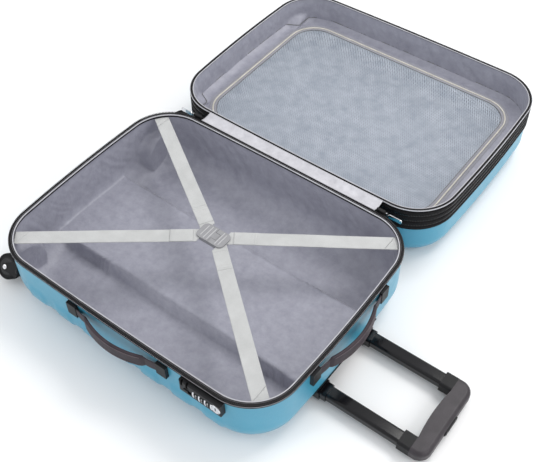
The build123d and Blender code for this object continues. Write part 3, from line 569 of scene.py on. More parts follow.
def basin(path, edge_round, top, base_inset, steps_wall=14, steps_round=12, steps_floor=16):
    """Loops of a tray: down the wall, round the bottom edge and in along the floor.
    Returns the grid of points, shape (loops, points round, 3)."""
    loops = []
    for z in np.linspace(top, edge_round, steps_wall, endpoint=False):
        loops.append(ring_points(path, base_inset, z))
    radius = edge_round - base_inset
    for angle in np.linspace(0, math.pi / 2, steps_round):
        inset = edge_round - radius * math.cos(angle)
        z = edge_round - radius * math.sin(angle)
        loops.append(ring_points(path, inset, z))
    rim = loops[-1]
    spine_half = HALF_X - HALF_Y
    spine = rim.copy()
    spine[:, 0] = np.clip(rim[:, 0] * spine_half / HALF_X * 1.25, -spine_half, spine_half)
    spine[:, 1] = 0
    for t in np.linspace(0, 1, steps_floor + 1)[1:]:
        loops.append(rim * (1 - t) + spine * t)
    return np.array(loops)


def grid_normals(grid):
    """Outward unit normals of a tray of loops."""
    along = np.roll(grid, -1, 1) - np.roll(grid, 1, 1)
    down = np.gradient(grid, axis=0)
    normal = np.cross(down, along)
    length = np.linalg.norm(normal, axis=2, keepdims=True)
    normal = np.where(length > 1e-9, normal / np.maximum(length, 1e-12), [0, 0, -1.0])
    middle = np.array([0, 0, 0.06])
    outward = np.sum(normal * (grid - middle), axis=2, keepdims=True)
    return normal * np.where(outward < 0, -1, 1)


def rib_mask(grid, top):
    """One on the raised cross bands, nought between them and near the rim."""
    x, z = grid[..., 0], grid[..., 2]
    start = -RIB_PITCH * (RIB_COUNT - 1) / 2
    nearest = np.round((x - start) / RIB_PITCH)
    nearest = np.clip(nearest, 0, RIB_COUNT - 1)
    away = np.abs(x - (start + nearest * RIB_PITCH))
    across = 1 - smooth(12.5 * MM, 18.5 * MM, away)
    below = 1 - smooth(top - 16 * MM, top, z)
    return across * below


def ribbed_shell(name, node, path, edge_round, top, rib_top, centre_y, cutters):
    grid = basin(path, edge_round, top, RIB_HEIGHT, steps_wall=22, steps_round=16, steps_floor=18)
    normals = grid_normals(grid)
    push = RIB_HEIGHT * rib_mask(grid, rib_top)
    outer = grid + normals * push[..., None]
    inner = grid - normals * WALL
    inner[0, :, 2] = top
    outer[0, :, 2] = top
    count = grid.shape[1]
    loops = grid.shape[0]
    points = np.concatenate([outer.reshape(-1, 3), inner.reshape(-1, 3)])
    faces = []
    for k in range(loops - 1):
        for i in range(count):
            j = (i + 1) % count
            a, b, c, d = k * count + i, k * count + j, (k + 1) * count + j, (k + 1) * count + i
            faces.append((a, b, c, d))
            shift = loops * count
            faces.append((a + shift, d + shift, c + shift, b + shift))
    for i in range(count):
        j = (i + 1) % count
        shift = loops * count
        faces.append((i, i + shift, j + shift, j))
    points = points + [0, centre_y, 0]
    obj = mesh_from(name, points, faces, BLUE)
    work = bmesh.new()
    work.from_mesh(obj.data)
    bmesh.ops.remove_doubles(work, verts=work.verts, dist=1.2e-4)
    bmesh.ops.dissolve_degenerate(work, edges=work.edges, dist=1e-5)
    bmesh.ops.recalc_face_normals(work, faces=work.faces)
    work.to_mesh(obj.data)
    work.free()
    for cutter in cutters:
        modifier = obj.modifiers.new("opening", "BOOLEAN")
        modifier.operation = "DIFFERENCE"
        modifier.solver = "EXACT"
        modifier.object = cutter
    apply_modifiers(obj)
    for cutter in cutters:
        bpy.data.objects.remove(cutter)
    sharp_by_angle(obj, 40)
    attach(obj, frame["nodes"][node]["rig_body"])
    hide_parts(node)
    return obj


def tool(name, points, faces):
    return fix_normals(mesh_from(name, points, faces, None, False))


def circle_section(radius, sides=64):
    angles = np.linspace(0, 2 * math.pi, sides, endpoint=False)
    return [(radius * math.cos(a), radius * math.sin(a)) for a in angles]


def rounded_section(width, depth, corner, steps=5):
    """Points of a rounded rectangle in its own plane."""
    points = []
    for sx, sy, start in ((1, 1, 0), (-1, 1, 90), (-1, -1, 180), (1, -1, 270)):
        for angle in np.radians(np.linspace(start, start + 90, steps)):
            points.append(
                (
                    sx * (width / 2 - corner) + corner * math.cos(angle),
                    sy * (depth / 2 - corner) + corner * math.sin(angle),
                )
            )
    return points


def prism_tool(name, section, low_x, high_x, centre_y, centre_z):
    count = len(section)
    points = [(x, centre_y + y, centre_z + z) for x in (low_x, high_x) for y, z in section]
    faces = [(i, (i + 1) % count, count + (i + 1) % count, count + i) for i in range(count)]
    faces += [tuple(range(count)), tuple(range(count, 2 * count))]
    return tool(name, points, faces)


def box_tool(name, low, high):
    points = [(x, y, z) for x in (low[0], high[0]) for y in (low[1], high[1]) for z in (low[2], high[2])]
    faces = [(0, 1, 3, 2), (4, 6, 7, 5), (0, 4, 5, 1), (2, 3, 7, 6), (0, 2, 6, 4), (1, 5, 7, 3)]
    return tool(name, points, faces)


def make_shells():
    tube = rounded_section(26.6 * MM, 20.6 * MM, 4.1 * MM)
    well = circle_section(WELL_RADIUS)
    well_end = WELL_X + 2.3 * MM
    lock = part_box("lock_body")
    cutters = [
        prism_tool(f"well_{side}", well, WELL_OUTSIDE, well_end, side * WELL_Y, WELL_Z) for side in (-1, 1)
    ]
    cutters += [
        prism_tool(f"passage_{side}", tube, HALF_X - 0.05, HALF_X + 0.05, side * TUBE_SPREAD, TUBE_LEVEL)
        for side in (-1, 1)
    ]
    cutters.append(box_tool("lock_hole", lock[0], lock[1] + Vector((0, 0.02, 0))))
    ribbed_shell("moulded_back_shell", "back_shell", RIM_PATH, BACK_ROUND, TRIM_BASE, 64 * MM, 0, cutters)
    cutters = [
        prism_tool(f"lid_well_{side}", well, WELL_OUTSIDE, well_end, LID_Y + side * WELL_Y, WELL_Z)
        for side in (-1, 1)
    ]
    ribbed_shell(
        "moulded_front_shell", "front_shell", RIM_PATH, FRONT_ROUND, GUSSET_BASE, 62 * MM, LID_Y, cutters
    )


# ---------------------------------------------------------------- rims
def away_from_hinge(centre_side):
    """True outside the stretch where the cloth hinge runs."""

    def keep(p):
        return not (abs(p[0]) < 165 * MM and p[1] * centre_side > HALF_Y * 0.8)

    return keep


def coil_teeth(name, path, inset, z, pitch, size, material, centre_y=0.0, keep=None):
    places = along_path(path, inset, pitch, keep)
    centres = [np.array([p[0], p[1] + centre_y, z]) for p, _, _ in places]
    ways = [np.array([n[0], n[1], 0]) for _, _, n in places]
    return small_boxes(name, centres, ways, np.array(size), material)


def own(obj, body, slot, *nodes):
    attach(obj, body)
    if nodes:
        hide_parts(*nodes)
    return obj


def make_back_rim():
    top = RIM
    base = TRIM_BASE
    seam = box_profile(4.6 * MM, 5.0 * MM, top - 0.8 * MM, top - 0.3 * MM, 0.1 * MM)
    band = box_profile(0.4 * MM, 7.6 * MM, base, top - 0.6 * MM, 1.3 * MM)
    own(sweep_ring("back_rim_band", RIM_PATH, band, BAND), "base", "zip_tape", "back_rim_trim")
    for name, profile, material, slot in (
        ("piping", round_profile(1.45 * MM, base + 1.4 * MM, 1.4 * MM), PIPING, "zip_tape"),
        ("inner_edge", round_profile(7.2 * MM, top - 1.0 * MM, 0.95 * MM, 8), PALE_EDGE, "binding"),
        # The thin pale cord just above the dark piping is a painted highlight along the piping.
        ("outer_edge", round_profile(0.75 * MM, base + 3.3 * MM, 0.55 * MM, 8), PALE_EDGE, "binding"),
        ("seam", seam, SEAM, "zip_tape"),
    ):
        own(sweep_ring(f"back_rim_{name}", RIM_PATH, profile, material), "base", slot)
    teeth = coil_teeth(
        "back_coil_teeth", RIM_PATH, 2.2 * MM, top - 0.15 * MM, 2.4 * MM,
        (2.7 * MM, 1.25 * MM, 1.0 * MM), TEETH, 0, away_from_hinge(1),
    )
    own(teeth, "base", "zip_teeth", "back_zip_teeth")


def make_lid_rim():
    top = RIM
    wall_low, wall_high = GUSSET_BASE, BINDING_BASE
    pitch = (wall_high - wall_low) / 4
    wall = box_profile(1.5 * MM, 4.4 * MM, wall_low, wall_high, 0.4 * MM)
    own(sweep_ring("gusset_cloth", RIM_PATH, wall, TAPE, LID_Y), "lid", "zip_tape", "lid_gusset")
    for number in range(4):
        middle = wall_low + pitch * (number + 0.5)
        half = pitch * 0.29
        tape = box_profile(0.1 * MM, 2.4 * MM, middle - half, middle + half, 0.9 * MM)
        own(sweep_ring(f"gusset_tape_{number + 1}", RIM_PATH, tape, BAND, LID_Y), "lid", "zip_tape")
    for number in range(1, 4):
        level = wall_low + pitch * number
        places = along_path(RIM_PATH, 1.2 * MM, 2.4 * MM)
        centres = [np.array([p[0], p[1] + LID_Y, level]) for p, _, _ in places]
        ways = [np.array([0, 0, 1.0]) for _ in places]
        ups = [np.array([n[0], n[1], 0]) for _, _, n in places]
        size = np.array((3.0, 1.2, 1.1)) * MM
        own(small_boxes(f"expansion_coil_{number}", centres, ways, size, TEETH, ups), "lid", "zip_teeth")
    base = BINDING_BASE
    cloth = box_profile(0.8 * MM, 5.8 * MM, base, top - 0.7 * MM, 0.5 * MM)
    own(sweep_ring("lid_rim_cloth", RIM_PATH, cloth, BAND, LID_Y), "lid", "zip_tape", "lid_rim_binding")
    for name, inset, z, radius in (
        ("outer", 0.9 * MM, base + 1.3 * MM, 0.9 * MM), ("inner", 5.5 * MM, top - 0.9 * MM, 0.85 * MM)
    ):
        piping = sweep_ring(
            f"lid_{name}_piping", RIM_PATH, round_profile(inset, z, radius, 8), PALE_EDGE, LID_Y
        )
        own(piping, "lid", "binding")
    teeth = coil_teeth(
        "lid_coil_teeth", RIM_PATH, 2.4 * MM, top - 0.15 * MM, 2.4 * MM,
        (2.7 * MM, 1.25 * MM, 1.0 * MM), TEETH, LID_Y, away_from_hinge(-1),
    )
    own(teeth, "lid", "zip_teeth", "lid_zip_teeth")


# ---------------------------------------------------------------- cloth linings
def fold_noise(path, count, seed):
    """A smooth closed random curve along the path, from -1 to 1."""
    generator = np.random.default_rng(seed)
    s = path["s"] / path["total"] * 2 * math.pi
    value = np.zeros_like(s)
    for k in range(count // 2, count * 2):
        value += generator.normal() * np.cos(k * s + generator.uniform(0, 2 * math.pi))
    return value / np.abs(value).max()


def clear_of_wells(grid, radius, floor_x, centre_y=0.0):
    """Cloth over a wheel housing moves in to the housing's inner face and slopes back round it."""
    result = grid.copy()
    slope = 10 * MM
    for side in (-1, 1):
        y = result[..., 1] - (centre_y + side * WELL_Y)
        z = result[..., 2] - WELL_Z
        away = np.clip((np.hypot(y, z) - radius) / slope, 0, 1)
        limit = floor_x + (-HALF_X - floor_x) * away
        result[..., 0] = np.maximum(result[..., 0], limit)
    return result


def tray_mesh(name, grid, material):
    loops, count = grid.shape[:2]
    faces = []
    for k in range(loops - 1):
        for i in range(count):
            j = (i + 1) % count
            faces.append((k * count + i, (k + 1) * count + i, (k + 1) * count + j, k * count + j))
    obj = mesh_from(name, grid.reshape(-1, 3), faces, material)
    work = bmesh.new()
    work.from_mesh(obj.data)
    bmesh.ops.remove_doubles(work, verts=work.verts, dist=1.5e-4)
    bmesh.ops.recalc_face_normals(work, faces=work.faces)
    work.to_mesh(obj.data)
    work.free()
    obj.data.shade_smooth()
    return obj


def lining(name, node, edge_round, top, centre_y, hump_top, seed, body, depth_of_fold):
    inset = 5.7 * MM
    path = RIM_FINE
    grid = basin(path, edge_round, top, inset, steps_wall=20, steps_round=14, steps_floor=26)
    normals = grid_normals(grid)
    z = grid[..., 2]
    drop = np.mean(top - z, axis=1)
    creases = fold_noise(path, 84, seed)
    lean = fold_noise(path, 9, seed + 1)
    gather = 0.65 + 0.35 * fold_noise(path, 22, seed + 2)
    s = path["s"]
    total = path["total"]
    rows = [np.interp((s + d * (0.75 + 0.6 * lean)) % total, s, creases, period=total) for d in drop]
    wall = smooth(0.0, 0.016, top - z) * smooth(4 * MM, 30 * MM, z)
    fold = gather * (1 - np.abs(np.array(rows))) ** 2
    inward = depth_of_fold * fold * wall
    grid = grid - normals * inward[..., None]
    if hump_top:
        half = 74.2 * MM
        raised = hump_top * (1 - smooth(half - 1 * MM, half + 5 * MM, np.abs(grid[..., 1])))
        grid[..., 2] = np.maximum(grid[..., 2], raised)
    wells = clear_of_wells(grid, CLOTH_WELL_RADIUS, WELL_X + CLOTH_WELL_GAP)
    moved = np.linalg.norm(wells - grid, axis=2) > 1e-6
    grid = wells
    floor = grid[..., 2] < 20 * MM
    pucker = (1 + np.sin(grid[..., 0] * 95 + 3 * np.sin(grid[..., 1] * 60))) / 2
    puckers = np.where(floor & ~moved, 0.7 * MM * pucker, 0)
    grid[..., 2] += puckers
    grid = grid + [0, centre_y, 0]
    obj = tray_mesh(name, grid, SATIN)
    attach(obj, body)
    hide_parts(node)
    return obj


def closed_cord(name, points, radius, material, sides=8):
    """A round cord along a closed loop of points."""
    tangent = np.roll(points, -1, 0) - np.roll(points, 1, 0)
    tangent /= np.maximum(np.linalg.norm(tangent, axis=1, keepdims=True), 1e-9)
    side = np.cross([0, 0, 1.0], tangent)
    side /= np.maximum(np.linalg.norm(side, axis=1, keepdims=True), 1e-9)
    lift = np.cross(tangent, side)
    rings = [
        points + radius * (math.cos(a) * side + math.sin(a) * lift)
        for a in np.linspace(0, 2 * math.pi, sides, endpoint=False)
    ]
    found, faces = loft(rings, True)
    return fix_normals(mesh_from(name, found, faces, material))


def make_linings():
    hump_top = 29.3 * MM
    back = lining(
        "back_cloth_lining", "back_lining", BACK_ROUND, TRIM_BASE, 0, hump_top, 11, "base", 2.2 * MM
    )
    lid = lining(
        "lid_cloth_lining", "lid_lining", FRONT_ROUND, BINDING_BASE, LID_Y, 0, 23, "lid", 3.0 * MM
    )


# ---------------------------------------------------------------- mesh divider
MESH_LOW, MESH_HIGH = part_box("divider_mesh")
MESH_HALF_X = (MESH_HIGH[0] - MESH_LOW[0]) / 2
MESH_HALF_Y = (MESH_HIGH[1] - MESH_LOW[1]) / 2
DIVIDER_Z = (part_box("divider_border")[0][2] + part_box("divider_border")[1][2]) / 2
MESH_CORNER = 44 * MM
TAPE_WIDTH = 12 * MM


def loop_from_centre(points_wanted, loop_points):
    """Points of another loop in the directions of the wanted ones."""
    angles = np.arctan2(loop_points[:, 1], loop_points[:, 0])
    order = np.argsort(angles)
    wanted = np.arctan2(points_wanted[:, 1], points_wanted[:, 0])
    found = []
    for k in (0, 1):
        found.append(np.interp(wanted, angles[order], loop_points[order, k], period=2 * math.pi))
    return np.column_stack(found)


def make_divider():
    outer = RIM_PATH["p"] - RIM_PATH["n"] * (6.4 * MM)
    ring_path = rounded_path(
        MESH_HALF_X + TAPE_WIDTH, MESH_HALF_Y + TAPE_WIDTH, MESH_CORNER + TAPE_WIDTH, 4 * MM
    )
    inner = loop_from_centre(outer, ring_path["p"])
    steps = 10
    puck = fold_noise(RIM_PATH, 60, 5)
    broad = fold_noise(RIM_PATH, 16, 6)
    loops = []
    for k in range(steps + 1):
        t = k / steps
        flat = outer * (1 - t) + inner * t
        sag = -2.5 * MM * math.sin(math.pi * t)
        lift = 3.0 * MM * (1 - t) ** 2
        ruffle = (1.3 * MM * broad + 0.8 * MM * puck) * math.sin(math.pi * min(1, t * 1.1)) * 0.9
        z = DIVIDER_Z + lift + sag + ruffle
        loops.append(np.column_stack([flat, np.broadcast_to(z, len(flat))]))
    grid = np.array(loops)
    grid = clear_of_wells(grid, BORDER_WELL_RADIUS, WELL_X + BORDER_WELL_GAP)
    grid = grid + [0, LID_Y, 0]
    border = tray_mesh("divider_cloth_border", grid, SATIN)
    own(border, "lid", "lining_satin", "divider_border")

    # Dark cord where the lining wall meets the divider border: a seam, darkened to paint the shadow line in
    # that join.
    seam = np.column_stack([outer, np.full(len(outer), DIVIDER_Z + 3.2 * MM)])
    seam = clear_of_wells(seam, BORDER_WELL_RADIUS, WELL_X + BORDER_WELL_GAP)
    own(closed_cord("divider_seam", seam + [0, LID_Y, 0], 0.7 * MM, SEAM_AND_SHADOW_GREY), "lid", "lining_satin")

    middle = rounded_path(MESH_HALF_X + 6 * MM, MESH_HALF_Y + 6 * MM, MESH_CORNER + 6 * MM, 4 * MM)
    level = DIVIDER_Z
    for name, low, high in (("inner", -6.4, -1.1), ("outer", 1.1, 6.4)):
        profile = box_profile(-high * MM, -low * MM, level - 0.4 * MM, level + 0.4 * MM, 0.25 * MM)
        tape = sweep_ring(f"divider_tape_{name}", middle, profile, TAPE_BEIGE, LID_Y)
        own(tape, "lid", "divider_tape")
    edge_profile = round_profile(6.2 * MM, level + 0.3 * MM, 0.55 * MM, 8)
    own(sweep_ring("divider_tape_edge", middle, edge_profile, SEAM_AND_SHADOW_GREY, LID_Y), "lid", "divider_tape")
    coil_profile = round_profile(0, level + 0.5 * MM, 1.3 * MM, 10)
    coil = sweep_ring("divider_coil", middle, coil_profile, COIL_BEIGE, LID_Y)
    own(coil, "lid", "divider_tape", "divider_zipper")
    teeth = coil_teeth(
        "divider_teeth", middle, 0, level + 1.15 * MM, 2.0 * MM,
        (2.4 * MM, 1.0 * MM, 1.0 * MM), COIL_BEIGE, LID_Y,
    )
    own(teeth, "lid", "divider_tape")

    edge = rounded_path(MESH_HALF_X + 2.5 * MM, MESH_HALF_Y + 2.5 * MM, MESH_CORNER, 4 * MM)["p"]
    reach = MESH_HALF_X - MESH_HALF_Y
    spine = np.column_stack([np.clip(edge[:, 0], -reach, reach), 0 * edge[:, 1]])
    loops = []
    for t in np.linspace(0, 1, 40):
        x, y = (edge * (1 - t) + spine * t).T
        inwards = float(smooth(0, 0.75, np.array(t)))
        wave = 0.5 * np.sin(x * 70 + 2 * np.sin(y * 31)) + 0.5 * np.sin(y * 83 + 2.2 * np.sin(x * 27))
        z = level - 0.45 * MM - 4.5 * MM * inwards + 1.0 * MM * wave * min(1, inwards * 2.5)
        loops.append(np.column_stack([x, y + LID_Y, z]))
    points, faces = loft(loops, False)
    panel = mesh_from("divider_net", points, faces, NETTING)
    own(panel, "lid", "divider_mesh", "divider_mesh")
    flat = (2 * MESH_HALF_Y, 2 * MESH_HALF_X)


# ---------------------------------------------------------------- cloth hinge
def make_hinge():
    low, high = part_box("hinge_strip")
    columns, rows = 132, 10
    start_y, end_y = low[1] - 0.2 * MM, high[1] + 0.2 * MM
    points = []
    for j in range(rows + 1):
        t = j / rows
        for i in range(columns + 1):
            s = i / columns
            x = low[0] + (high[0] - low[0]) * s
            crease = 0.5 * math.sin(x * 260 + 3 * math.sin(x * 60)) + 0.5 * math.sin(x * 120 + 4 * t)
            dip = math.sin(math.pi * t)
            z = high[2] - 0.3 * MM - 2.6 * MM * dip + 0.9 * MM * crease * dip
            y = start_y + (end_y - start_y) * t
            points.append((x, y, z))
    faces = []
    for j in range(rows):
        for i in range(columns):
            a = j * (columns + 1) + i
            faces.append((a, a + 1, a + columns + 2, a + columns + 1))
    strip = mesh_from("hinge_cloth", points, faces, HINGE_CLOTH)
    solid = strip.modifiers.new("thickness", "SOLIDIFY")
    solid.thickness = 0.7 * MM
    solid.offset = 0
    apply_modifiers(strip)
    strip.data.shade_smooth()
    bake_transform(strip)
    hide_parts("hinge_strip")


# ---------------------------------------------------------------- packing straps
STRAP_LOW, STRAP_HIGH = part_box("strap_right")
STRAP_Z = (STRAP_LOW[2] + STRAP_HIGH[2]) / 2
BUCKLE_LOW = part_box("buckle_left")[0]
BUCKLE_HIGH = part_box("buckle_right")[1]
BUCKLE_CENTRE = ((BUCKLE_LOW[0] + BUCKLE_HIGH[0]) / 2, (BUCKLE_LOW[1] + BUCKLE_HIGH[1]) / 2)
ANCHOR = (214 * MM, 152 * MM)
ARM_ROOT = (13 * MM, 6 * MM)
STRAP_HALF = 11.25 * MM


def ribbon(name, start, end, half_width, level, thickness, material, steps=60, wave=0.0, seed=0, trim=None):
    """A flat webbing strip with soft edges from one point to another."""
    start, end = np.array(start), np.array(end)
    way = (end - start) / np.linalg.norm(end - start)
    side = np.array([-way[1], way[0]])
    half_thick = thickness / 2
    profile = [
        (-1.0, 0.0), (-0.985, 0.8), (-0.93, 1.0), (-0.86, 0.82), (-0.4, 0.86), (0.0, 0.9),
        (0.4, 0.86), (0.86, 0.82), (0.93, 1.0), (0.985, 0.8), (1.0, 0.0), (0.985, -0.8),
        (0.93, -1.0), (0.0, -0.9), (-0.93, -1.0), (-0.985, -0.8),
    ]
    generator = np.random.default_rng(seed)
    phase = generator.uniform(0, 6.28, 3)
    rings = []
    for k in range(steps + 1):
        t = k / steps
        centre = start + (end - start) * t
        bend = wave * (math.sin(7 * t + phase[0]) + 0.5 * math.sin(17 * t + phase[1])) * math.sin(math.pi * t)
        rings.append([
            (*(centre + side * half_width * a), level + bend + half_thick * b) for a, b in profile
        ])
    rings = np.array(rings)
    if trim is not None:
        rings = trim(rings)
    points, faces = capped(rings)
    return fix_normals(mesh_from(name, points, faces, material))


def stitch_rows(name, start, end, half_width, level, rows, material, pitch=3.0 * MM):
    """Short thread stitches across and along a strap's sewn end."""
    start, end = np.array(start), np.array(end)
    way = (end - start) / np.linalg.norm(end - start)
    side = np.array([-way[1], way[0]])
    centres, ways = [], []
    for row in rows:
        count = int(2 * half_width * 0.86 / pitch)
        for k in range(count + 1):
            offset = -half_width * 0.86 + k * pitch
            place = start + way * row + side * offset
            centres.append(np.array([*place, level]))
            ways.append(np.array([*side, 0]))
    return small_boxes(name, centres, ways, np.array((2.0 * MM, 0.5 * MM, 0.35 * MM)), material)


def make_straps():
    for side_name, sx in (("left", -1), ("right", 1)):
        body = f"strap_flap_{side_name}"
        limit = STRAP_HIGH[0] - 0.2 * MM
        buckle_end = BUCKLE_CENTRE[0] + sx * (BUCKLE_HIGH[0] - BUCKLE_LOW[0]) / 2
        for number, sy in ((1, -1), (2, 1)):
            root = np.array([BUCKLE_CENTRE[0] + sx * ARM_ROOT[0], BUCKLE_CENTRE[1] + sy * ARM_ROOT[1]])
            goal = np.array([sx * ANCHOR[0], sy * ANCHOR[1]])
            way = (goal - root) / np.linalg.norm(goal - root)
            material = WEBBING_A if sx * sy > 0 else WEBBING_B
            near = root + way * max(0, (abs(buckle_end - root[0]) - 1.5 * MM) / abs(way[0]))
            far = root + way * (abs(sx * limit - root[0]) / abs(way[0]))

            def cut_square(rings, way=way, sx=sx):
                """Ends the strap on a line across the case, as its fold is."""
                for r in range(len(rings)):
                    x = rings[r, :, 0]
                    over = np.clip(sx * x - limit, 0, None)
                    rings[r, :, 0] -= sx * over
                    rings[r, :, 1] -= over * way[1] / abs(way[0])
                    under = np.clip(sx * buckle_end - 9.0 * MM - sx * x, 0, None)
                    rings[r, :, 0] += sx * under
                    rings[r, :, 1] += under * way[1] / abs(way[0])
                return rings

            start = near - way * 22 * MM
            end = far + way * 12 * MM
            strip = ribbon(
                f"strap_{side_name}_{number}", start, end, STRAP_HALF, STRAP_Z, 1.3 * MM, material,
                steps=64, wave=0.25 * MM, seed=number + 3 * (sx > 0), trim=cut_square,
            )
            own(strip, body, "webbing", f"strap_{side_name}")
            inner = near + way * 3 * MM
            fold_end = inner + way * 34 * MM
            fold = ribbon(
                f"strap_{side_name}_{number}_fold", inner, fold_end, STRAP_HALF * 0.99, STRAP_Z + 0.8 * MM,
                0.5 * MM, material, steps=14, seed=9,
            )
            own(fold, body, "webbing")
            stitches = stitch_rows(
                f"strap_{side_name}_{number}_stitches", inner, fold_end, STRAP_HALF, STRAP_Z + 1.1 * MM,
                (26 * MM, 30.5 * MM), THREAD,
            )
            own(stitches, body, "webbing")
            anchor_from = far - way * 14 * MM
            anchor_to = goal + way * 24 * MM

            def tuck(rings, way=way, sx=sx):
                """Starts the sewn end where the strap stops and tucks it under the rim."""
                short = np.clip(limit + 0.3 * MM - sx * rings[..., 0], 0, None)
                rings[..., 0] += sx * short
                rings[..., 1] += short * way[1] / abs(way[0])
                return clip_to_rim(rings, way)

            tab = ribbon(
                f"strap_anchor_{side_name}_{number}", anchor_from, anchor_to, STRAP_HALF, STRAP_Z,
                1.3 * MM, material, steps=16, trim=tuck,
            )
            if number == 1 and sx < 0:
                own(tab, "base", "webbing", "strap_anchors")
            else:
                own(tab, "base", "webbing")


def clip_to_rim(rings, way):
    """Draws strap ends back along the strap until they lie inside the rim band."""
    limit = RIM_PATH["p"] - RIM_PATH["n"] * (7.9 * MM)
    normals = RIM_PATH["n"]
    flat = rings[..., :2].reshape(-1, 2).copy()
    for k, p in enumerate(flat):
        for _ in range(4):
            nearest = np.argmin(np.sum((limit - flat[k]) ** 2, 1))
            over = np.dot(flat[k] - limit[nearest], normals[nearest])
            if over <= 1e-5:
                break
            flat[k] -= way * over / max(0.3, np.dot(way, normals[nearest]))
    rings[..., :2] = flat.reshape(rings.shape[0], rings.shape[1], 2)
    return rings


def make_buckle_ridges():
    """Grip ridges across the two buckle halves, coloured paler than the buckle as painted highlight."""
    top = BUCKLE_HIGH[2]
    half_width = (BUCKLE_HIGH[1] - BUCKLE_LOW[1]) / 2
    for name, body, xs in (
        ("left", "strap_flap_left", (-16.0, -9.5, -3.5)),
        ("right", "strap_flap_right", (11.0, 16.0)),
    ):
        for number, x in enumerate(xs, start=1):
            half = half_width - 1.5 * MM if abs(x) < 14 else half_width - 3.2 * MM
            centre = BUCKLE_CENTRE[0] + x * MM
            section = [(-0.9, -0.3), (-0.55, 0.35), (0, 0.6), (0.55, 0.35), (0.9, -0.3)]
            rings = []
            for t in (-1, -0.96, -0.9, 0, 0.9, 0.96, 1):
                squash = 0.2 if abs(t) == 1 else 0.75 if abs(t) == 0.96 else 1
                rings.append([
                    (centre + a * MM * squash, BUCKLE_CENTRE[1] + t * half, top + b * MM * squash)
                    for a, b in section
                ])
            points, faces = capped(rings)
            ridge = fix_normals(mesh_from(f"buckle_ridge_{name}_{number}", points, faces, RIDGE_HIGHLIGHT))
            own(ridge, body, "grey_plastic")


# ---------------------------------------------------------------- carry handles
def carry_strap(name, seat, nodes, flip):
    """Half of a carry handle: from its pocket to the middle of the grip.
    seat maps (along, outward, up) in the handle's own frame to the case."""
    stations = []
    for a in np.concatenate([np.linspace(85, 58, 12), np.linspace(57, 50, 12), np.linspace(49, 0, 34)]):
        step = float(smooth(50, 55.5, np.array(a)))
        width = 17 * step + 22 * (1 - step)
        thick = 2.2 * step + 5.6 * (1 - step)
        t = a / 55.0
        bow = 5 + 12 * (1 - t**2) if a < 55 else 2.2 + 2.8 * float(1 - smooth(55, 78, np.array(a)))
        swell = 0.4 * math.sin(math.pi * min(1, a / 50)) if a < 50 else 0
        stations.append((a, bow, width + swell, thick))
    rings = []
    sides = 20
    for a, bow, width, thick in stations:
        ring = []
        for k in range(sides):
            angle = 2 * math.pi * k / sides
            c, s = math.cos(angle), math.sin(angle)
            n = 0.55
            up = np.sign(s) * abs(s) ** n * width / 2
            out = np.sign(c) * abs(c) ** n * thick / 2
            ring.append(seat(flip * a * MM, (bow + out) * MM, up * MM))
        rings.append(ring)
    points, faces = capped(rings)
    obj = fix_normals(mesh_from(name, points, faces, STRAP))
    sharp_by_angle(obj, 50)
    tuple(seat(flip * 84 * MM, 0, 0))
    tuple(seat(flip * 56 * MM, 0, 0))
    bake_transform(obj)
    if nodes:
        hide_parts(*nodes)
    return obj


def carry_edges(name, seat, body):
    """Raised sewn edge along both sides of the grip's outer face, paler than the strap as painted highlight
    on its edges.
    """
    for number, edge in ((1, -1), (2, 1)):
        rings = []
        for a in np.linspace(49, -49, 60):
            bow = 5 + 12 * (1 - (a / 55.0) ** 2) + 2.75
            centre_up = edge * 8.6
            ring = []
            for k in range(8):
                angle = 2 * math.pi * k / 8
                out = bow + 0.42 * math.cos(angle)
                up = centre_up + 0.7 * math.sin(angle)
                ring.append(seat(a * MM, out * MM, up * MM))
            rings.append(ring)
        points, faces = capped(rings)
        own(fix_normals(mesh_from(f"{name}_{number}", points, faces, EDGE_HIGHLIGHT)), body, "strap_black")


def make_carry_handles():
    side_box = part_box("side_handle_grip")
    top_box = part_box("top_handle_grip")
    side_x = (side_box[0][0] + side_box[1][0]) / 2
    side_z = (side_box[0][2] + side_box[1][2]) / 2
    top_y = (top_box[0][1] + top_box[1][1]) / 2
    top_z = (top_box[0][2] + top_box[1][2]) / 2

    def on_side(along, out, up):
        return (side_x - along, -HALF_Y + 1.5 * MM - out, side_z + up)

    def on_end(along, out, up):
        return (HALF_X - 2.5 * MM + out, top_y + along, top_z + up)

    for name, seat, body in (("side", on_side, "side_carry_handle"), ("top", on_end, "top_carry_handle")):
        for number, flip in ((1, 1), (2, -1)):
            nodes = (f"{name}_handle_grip", f"{name}_handle_tongues") if number == 1 else ()
            carry_strap(f"{name}_carry_strap_{number}", seat, nodes, flip)
        carry_edges(f"{name}_carry_edge", seat, body)


